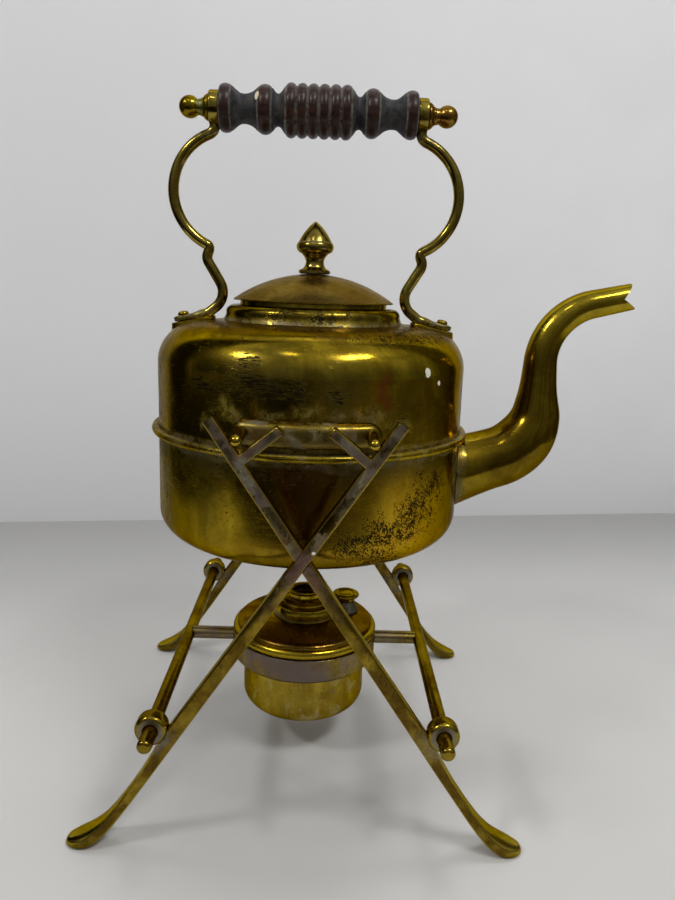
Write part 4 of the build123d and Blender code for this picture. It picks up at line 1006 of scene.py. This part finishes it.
def limb_section(width, height, share):
    """From a bar with softened edges (share 0) to an oval (share 1)."""
    bar = bar_section(width, height, min(0.7, width / 2, height / 2))
    turns = [math.radians(start + 6 + 26 * i) for start in (0, 90, 180, 270) for i in range(4)]
    return [(p + (width / 2 * math.cos(t) - p) * share, q + (height / 2 * math.sin(t) - q) * share)
            for (p, q), t in zip(bar, turns)]


def club_width(x):
    """Width of the foot through the frame, this far from the middle of the stand."""
    if x > CLUB_X:
        return 12.0 * math.sqrt(max(0.012, 1 - ((x - CLUB_X) / 8.5) ** 2))
    swell = max(0.0, min(1.0, (x - STRETCH_X) / (CLUB_X - STRETCH_X))) ** 1.35
    return 5.0 + 7.0 * swell * swell * (3 - 2 * swell)


leg_rings = []


def add_ring(a, b, width, share):
    """A ring of the leg between the upper edge a and the lower edge b."""
    up, middle = a - b, (a + b) / 2
    height = max(up.length, 0.25)
    up = up.normalized()
    leg_rings.append([Vector((middle.x + up.x * q, p, middle.y + up.y * q))
                      for p, q in limb_section(width, height, share)])


for t in (i / 20 for i in range(21)):
    add_ring(upper[0].lerp(upper[1], t), lower[0].lerp(lower[1], t), 5.0, 0.0)
top_curve = foot_curve(upper[1:], (1, -0.16), 29)
sole_curve = foot_curve(lower[1:], (1, 0.0), 24) + [Vector((SOLE_X + 1.3 * i, 0.0)) for i in range(1, 6)]
for i, (a, b) in enumerate(zip(top_curve[1:], sole_curve[1:]), 1):
    b.y = max(b.y, 0.0)
    add_ring(a, b, club_width((a.x + b.x) / 2), 0.55 * min(1.0, i / 18))
for t in (0.25, 0.45, 0.6, 0.72, 0.82, 0.9, 0.96, 1.0):
    x = TIP_X + 2.47 * t
    fall = 1 - math.sqrt(max(0.0, 1 - t * t))
    add_ring(Vector((x, TOE - 2.1 * fall - 0.3 * t)), Vector((x, 1.1 * fall)), club_width(x), 0.55)

# half of the leg's thickness is cut away where the other leg of the pair crosses it
other_side = Vector((-LEG_SIDE.x, LEG_SIDE.y))
corners = [Vector((-p.x, p.y)) + other_side * half_width
           for p, half_width in ((leg_top, 2.3), (knee, 3.0), (knee, -3.0), (leg_top, -2.3))]
lap = [[Vector((p.x, y, p.y)) for p in corners] for y in (-6.0, 0.0)]
leg_pattern = less(lofted(leg_rings), lofted(lap))

loop = [(3.05, 0), (3.05, 3.55), (3.35, 3.8), (4.9, 3.8)]
loop += arc((5.0, 3.79), (6.08, 3.26), (6.6, 2.2), 6) + [(6.6, 0)]
loop_pattern = turned(loop + [(r, -h) for r, h in loop[-2::-1]], "Y", (STRETCH_X, 0, STRETCH_Z), 64)

prong_dir = Vector((math.cos(math.radians(39.5)), math.sin(math.radians(39.5))))
prong_places = [20.6 * i / 8 for i in range(8)] + [20.2, 20.6]
prong_line = [tuple(on_leg(PRONG_Z) + prong_dir * t) for t in prong_places]
prong_pattern = rod(prong_line, [bar_section(4.96, 4.2, 0.7)] * 9 + [bar_section(4.3, 3.6, 0.7)])

for end, y in (("front", -FRAME_Y), ("rear", FRAME_Y)):
    for foot, top, turn in (("right", "left", 0), ("left", "right", 180)):
        place = Matrix.Translation((0, y, 0)) @ Matrix.Rotation(math.radians(turn), 4, "Z")
        for kind, pattern, dress, node, sharp in (
                (f"{end}_{foot}_limb", leg_pattern, leg_brass, f"{end}_{foot}_leg", 40),
                (f"{end}_{foot}_loop", loop_pattern, loop_brass, f"{end}_{foot}_eye", 38),
                (f"{end}_{top}_tine", prong_pattern, leg_brass, f"{end}_{top}_prong", 40)):
            piece(kind, moved(pattern, place), *ON_STAND, dress, node, sharp=sharp)

for side, name in ((1, "right"), (-1, "left")):
    bar = turned(domed(3.0, -100.8, 100.8, 1.6), "Y", (side * STRETCH_X, 0, STRETCH_Z), 40)
    piece(f"{name}_crossbar", bar, *ON_STAND, bar_brass, f"{name}_stretcher")
    ring_arm = turned([(0, 36.3), (3.2, 36.3), (3.2, 57.4), (0, 57.4)], "X", (0, 0, STRETCH_Z), 32)
    ring_arm = moved(ring_arm, MIRROR) if side < 0 else ring_arm
    piece(f"{name}_ring_arm", ring_arm, *ON_STAND, holder_brass, f"{name}_holder_rod")

band = [(31.3, 46.3), (34.7, 46.3), (36.2, 47.8), (36.2, HOLDER_TOP), (34.6, HOLDER_TOP), (34.6, 47.5),
        (31.3, 47.5), (31.3, 46.3)]
piece("holder_band", turned(soften(band, 0.4), segments=128), *ON_STAND, holder_brass, "holder_ring")

# ---------------- burner
DENTS = ((-1.25, 34, 0.8), (-1.9, 27, 0.5), (-2.5, 40, 0.4), (2.0, 35, 0.6))


def dented(r, h, a):
    r = hammered(0.3, 14)(r, h, a)
    for angle, z, depth in DENTS:
        d = math.hypot(math.atan2(math.sin(a - angle), math.cos(a - angle)) * r, h - z)
        r -= depth * max(0.0, 1 - (d / 5.5) ** 2) ** 2
    return r


cup = bent([(0, 20.4), (31.0, 20.4), (31.0, 62.8)], [8.0], 12, 1.6)
cup += bent([(0, 21.4), (30.0, 21.4), (30.0, 62.8)], [7.0], 10, 3.0)[::-1]
piece("cup_shell", turned(cup, worn=dented, segments=128), *ON_BURNER, cup_brass, "burner_cup")

ROLL_R = 2.5
cover = [(31.05, HOLDER_TOP + 0.02)]
cover += [(34.0 + ROLL_R * math.cos(a), HOLDER_TOP + ROLL_R + ROLL_R * math.sin(a))
          for a in map(math.radians, range(-88, 78, 9))]
cover += [(34.2, 63.2), (34.2, 64.0)] + arc((34.0, 64.4), (32.9, 65.3), (31.4, 65.7), 5)
cover += arc((31.0, 65.75), (18.8, 67.9), (6.6, COVER_TOP), 16)[1:]
cover += [(6.6, COVER_TOP - 2.2), (31.05, 62.8), (31.05, HOLDER_TOP + 0.02)]
vent = turned([(0, 60), (1.3, 60), (1.3, 75), (0, 75)], centre=(-19.2, 0, 0), segments=24)
filler_bore = turned([(0, 55), (3.2, 55), (3.2, 80), (0, 80)], centre=FILLER, segments=32)
piece("cover_dome", less(turned(cover, segments=128), vent, filler_bore), *ON_BURNER, cover_brass,
      "burner_cover")

hub = [(6.6, -2.0), (6.6, 11.0), (7.1, 11.6), (8.6, 11.6), (9.5, 11.0), (9.6, 9.6), (9.9, 9.3), (11.0, 9.1),
       (11.7, 8.6), (11.6, 7.7), (12.4, 7.5), (13.6, 7.3), (13.9, 6.8)]
hub += arc((13.8, 6.5), (13.2, 3.6), (16.4, 0.3), 10) + [(16.6, -0.1), (16.6, -0.9), (6.6, -2.0)]
piece("hub_turned", turned([(r, COVER_TOP + h) for r, h in hub[::-1]], segments=112), *ON_BURNER,
      burner_brass, "burner_hub", sharp=30)
tube = [(6.55, 46.7), (6.55, 76.7), (5.75, 76.7), (5.75, 46.7), (6.55, 46.7)]
piece("wick_sleeve", turned(tube, segments=64), *ON_BURNER, holder_brass, "wick_tube")
boss = [(3.2, 66.4), (3.2, 72.2), (4.6, 72.2), (4.9, 71.6), (5.4, 70.2), (6.4, 68.6), (6.9, 67.3),
        (6.0, 66.2), (3.2, 66.4)]
hub_room = turned([(0, 60), (16.65, 60), (16.65, 80), (0, 80)], segments=96)
piece("filler_neck", less(turned(boss, centre=FILLER, segments=64), hub_room), *ON_BURNER,
      filler_brass, "filler_boss")
cap = [(0, 66.2), (2.9, 66.2), (2.9, 72.2), (4.2, 72.2), (4.2, 74.2), (5.6, 74.2), (6.6, 74.7), (6.9, 75.5),
       (6.6, 76.3), (5.6, 76.8), (4.5, 76.8), (3.9, 76.2), (3.3, 76.6), (0, 76.8)]
cap = turned(soften(cap, 0.3), centre=FILLER, segments=72)
piece("cap_turned", cap, "cap", "burner_brass", burner_brass, "filler_cap")


def cotton(name):
    s = Surface(name)
    fibres = s.noise(1.0, 5, 0.6, 0.8, s.stretched((900, 900, 300)))
    s.dress({"Base Color": s.mix(s.fade(fibres, 0.35, 0.7), (0.06, 0.05, 0.04), (0.34, 0.30, 0.24)),
             "Roughness": 0.95, "Normal": s.bump(fibres, 0.8, 0.6)})
    return s.material


def stranded(r, h, a):
    return r * (1 - 0.03 * abs(math.sin(9 * a)))


wick = [(0, 26.2), (5.65, 26.2), (5.65, 73.2)] + arc((5.4, 73.6), (4.6, 74.0), (3.2, 74.15), 4) + [(0, 74.2)]
wick = turned(wick, segments=48, worn=stranded)
piece("wick_strands", wick, "burner", "wick_cotton", cotton("wick_cotton"), "wick")

# ---------------- floor, wall, light and camera
# The wall meets the floor along this line, left and right ends in metres.
WALL_LEFT, WALL_RIGHT = (-3.0, -0.056), (3.0, 0.797)
WALL_SLOPE = (WALL_RIGHT[1] - WALL_LEFT[1]) / (WALL_RIGHT[0] - WALL_LEFT[0])


def stage_plane(name, corners, colour, seen, corner_shade, one_sided=False):
    """A pale plane. Mirror-like metal sees it only within seen (low x, high x, low y) in metres,
    as on a table and backdrop of that size, with a dark room past them."""
    mesh = bpy.data.meshes.new(name)
    mesh.from_pydata(corners, [], [(0, 1, 2, 3)])
    ob = placed(name, mesh)
    s = Surface(name)
    x, y = s.axis("X"), s.axis("Y")
    # painted light: both planes are a little lighter towards the right
    pale = s.mix(s.fade(x, -0.35, 0.45), tone(colour, 0.95), tone(colour, 1.05))
    pale = s.mix(s.times(s.fade(s.noise(9, 3, 0.5), 0.3, 0.7), 0.4), pale, tone(colour, 0.93))
    # a little darker towards the corner where the wall meets the floor
    axis, near, far, share = corner_shade
    corner = s.fade(s.plus(s.axis(axis), s.times(x, -WALL_SLOPE if axis == "Y" else 0.0)), near, far)
    s.dress({"Base Color": s.mix(corner, tone(colour, share), pale), "Roughness": 0.6,
             "Specular IOR Level": 0.2})
    low_x, high_x, low_y = seen
    unseen = s.fade(x, high_x - 0.03, high_x + 0.03)
    unseen = s.most(unseen, s.fade(x, low_x - 0.03, low_x + 0.03, 1.0, 0.0))
    unseen = s.most(unseen, s.fade(y, low_y - 0.06, low_y + 0.02, 1.0, 0.0))
    # the dark room, darkest just past the left edge
    lit = s.most(s.fade(x, low_x - 1.6, low_x - 0.6, 1.0, 0.0), s.fade(x, -0.2, 0.4))
    dim = s.mix(s.fade(s.noise(2.2, 3, 0.5), 0.35, 0.65), (0.05, 0.046, 0.040), (0.16, 0.14, 0.11))
    room = s.made("Emission", {"Color": s.mix(lit, (0.010, 0.009, 0.008), dim)})
    in_mirror = s.times(unseen, s.made("LightPath", {}, "Is Glossy Ray"))
    look = s.made("MixShader", {0: in_mirror, 1: s.shader.outputs[0], 2: room})
    if one_sided:
        back = s.made("NewGeometry", {}, "Backfacing")
        look = s.made("MixShader", {0: back, 1: look, 2: s.made("BsdfTransparent", {})})
    s.set(s.result, look)
    mesh.materials.append(s.material)


stage_plane("floor", [(-4, -4, 0), (4, -4, 0), (4, 4, 0), (-4, 4, 0)],
            (0.56, 0.555, 0.54), (-0.50, 0.60, -0.32), ("Y", 0.36, 0.04, 0.60))
stage_plane("wall", [(*WALL_LEFT, 0), (*WALL_RIGHT, 0), (*WALL_RIGHT, 3.0), (*WALL_LEFT, 3.0)],
            (0.875, 0.875, 0.89), (-0.50, 0.60, -1.0), ("Z", -0.16, 0.24, 0.78), True)

# a dark room in front, paler towards the ceiling and behind, with upright shapes standing in it
world = bpy.data.worlds.new("studio")
bpy.context.scene.world = world
world.use_nodes = True
air = Nodes(world.node_tree, "Generated")
shapes = air.noise(1.6, 1.0, 0.5, 0.0, air.stretched((3.2, 3.2, 0.35)))
glow = air.times(air.fade(air.axis("Z"), 0.05, 0.95, 0.15, 0.50), air.fade(shapes, 0.36, 0.64, 0.72, 1.28))
glow = air.times(glow, air.fade(air.axis("X"), -0.97, -0.70, 0.20, 1.0))
glow = air.plus(glow, air.fade(air.axis("Y"), 0.0, 0.9, 0.0, 0.15))
background = world.node_tree.nodes["Background"]
air.set(background.inputs["Color"], air.made("CombineColor", {i: glow for i in range(3)}))
background.inputs["Strength"].default_value = 1.0

LAMPS_AIM = Vector((0, 0, 0.15))
for name, place, size, power, mirrored in (
        ("ceiling_left", (-1.25, -0.75, 1.5), (0.33, 0.18), 9.0, True),
        ("ceiling_right", (0.68, -0.75, 1.5), (0.56, 0.20), 9.2, True),
        ("ceiling_strip", (-0.30, -0.75, 1.5), (0.22, 0.05), 0.7, True),
        ("ceiling_back", (0.10, 0.24, 1.5), (0.34, 0.34), 5.0, False)):
    lamp = bpy.data.lights.new(name, "AREA")
    lamp.shape, lamp.energy = "RECTANGLE", power
    lamp.size, lamp.size_y = size
    ob = placed(name, lamp)
    ob.location = place
    ob.rotation_euler = (LAMPS_AIM - Vector(place)).to_track_quat("-Z", "Y").to_euler()
    ob.visible_glossy = mirrored

CAMERA_AT = Vector((0.00644, -0.36015, 0.23255))
YAW, PITCH, ROLL = 0.0202, 0.2170, 0.036
FOCAL, PHOTO_HEIGHT, SENSOR = 750.4, 900.0, 24.0
ahead = Vector((math.sin(YAW) * math.cos(PITCH), math.cos(YAW) * math.cos(PITCH), -math.sin(PITCH)))
level = ahead.cross(Vector((0, 0, 1))).normalized()
upright = level.cross(ahead)
right = level * math.cos(ROLL) + upright * math.sin(ROLL)
up = upright * math.cos(ROLL) - level * math.sin(ROLL)
camera_data = bpy.data.cameras.new("camera")
camera_data.sensor_fit = "VERTICAL"
camera_data.sensor_height = SENSOR
camera_data.lens = SENSOR * FOCAL / PHOTO_HEIGHT
camera_data.clip_start = 0.01
camera = placed("camera", camera_data)
rows = [(right[i], up[i], -ahead[i], CAMERA_AT[i]) for i in range(3)]
camera.matrix_world = Matrix((*rows, (0, 0, 0, 1)))
bpy.context.scene.camera = camera
bpy.context.scene.view_settings.view_transform = "Standard"
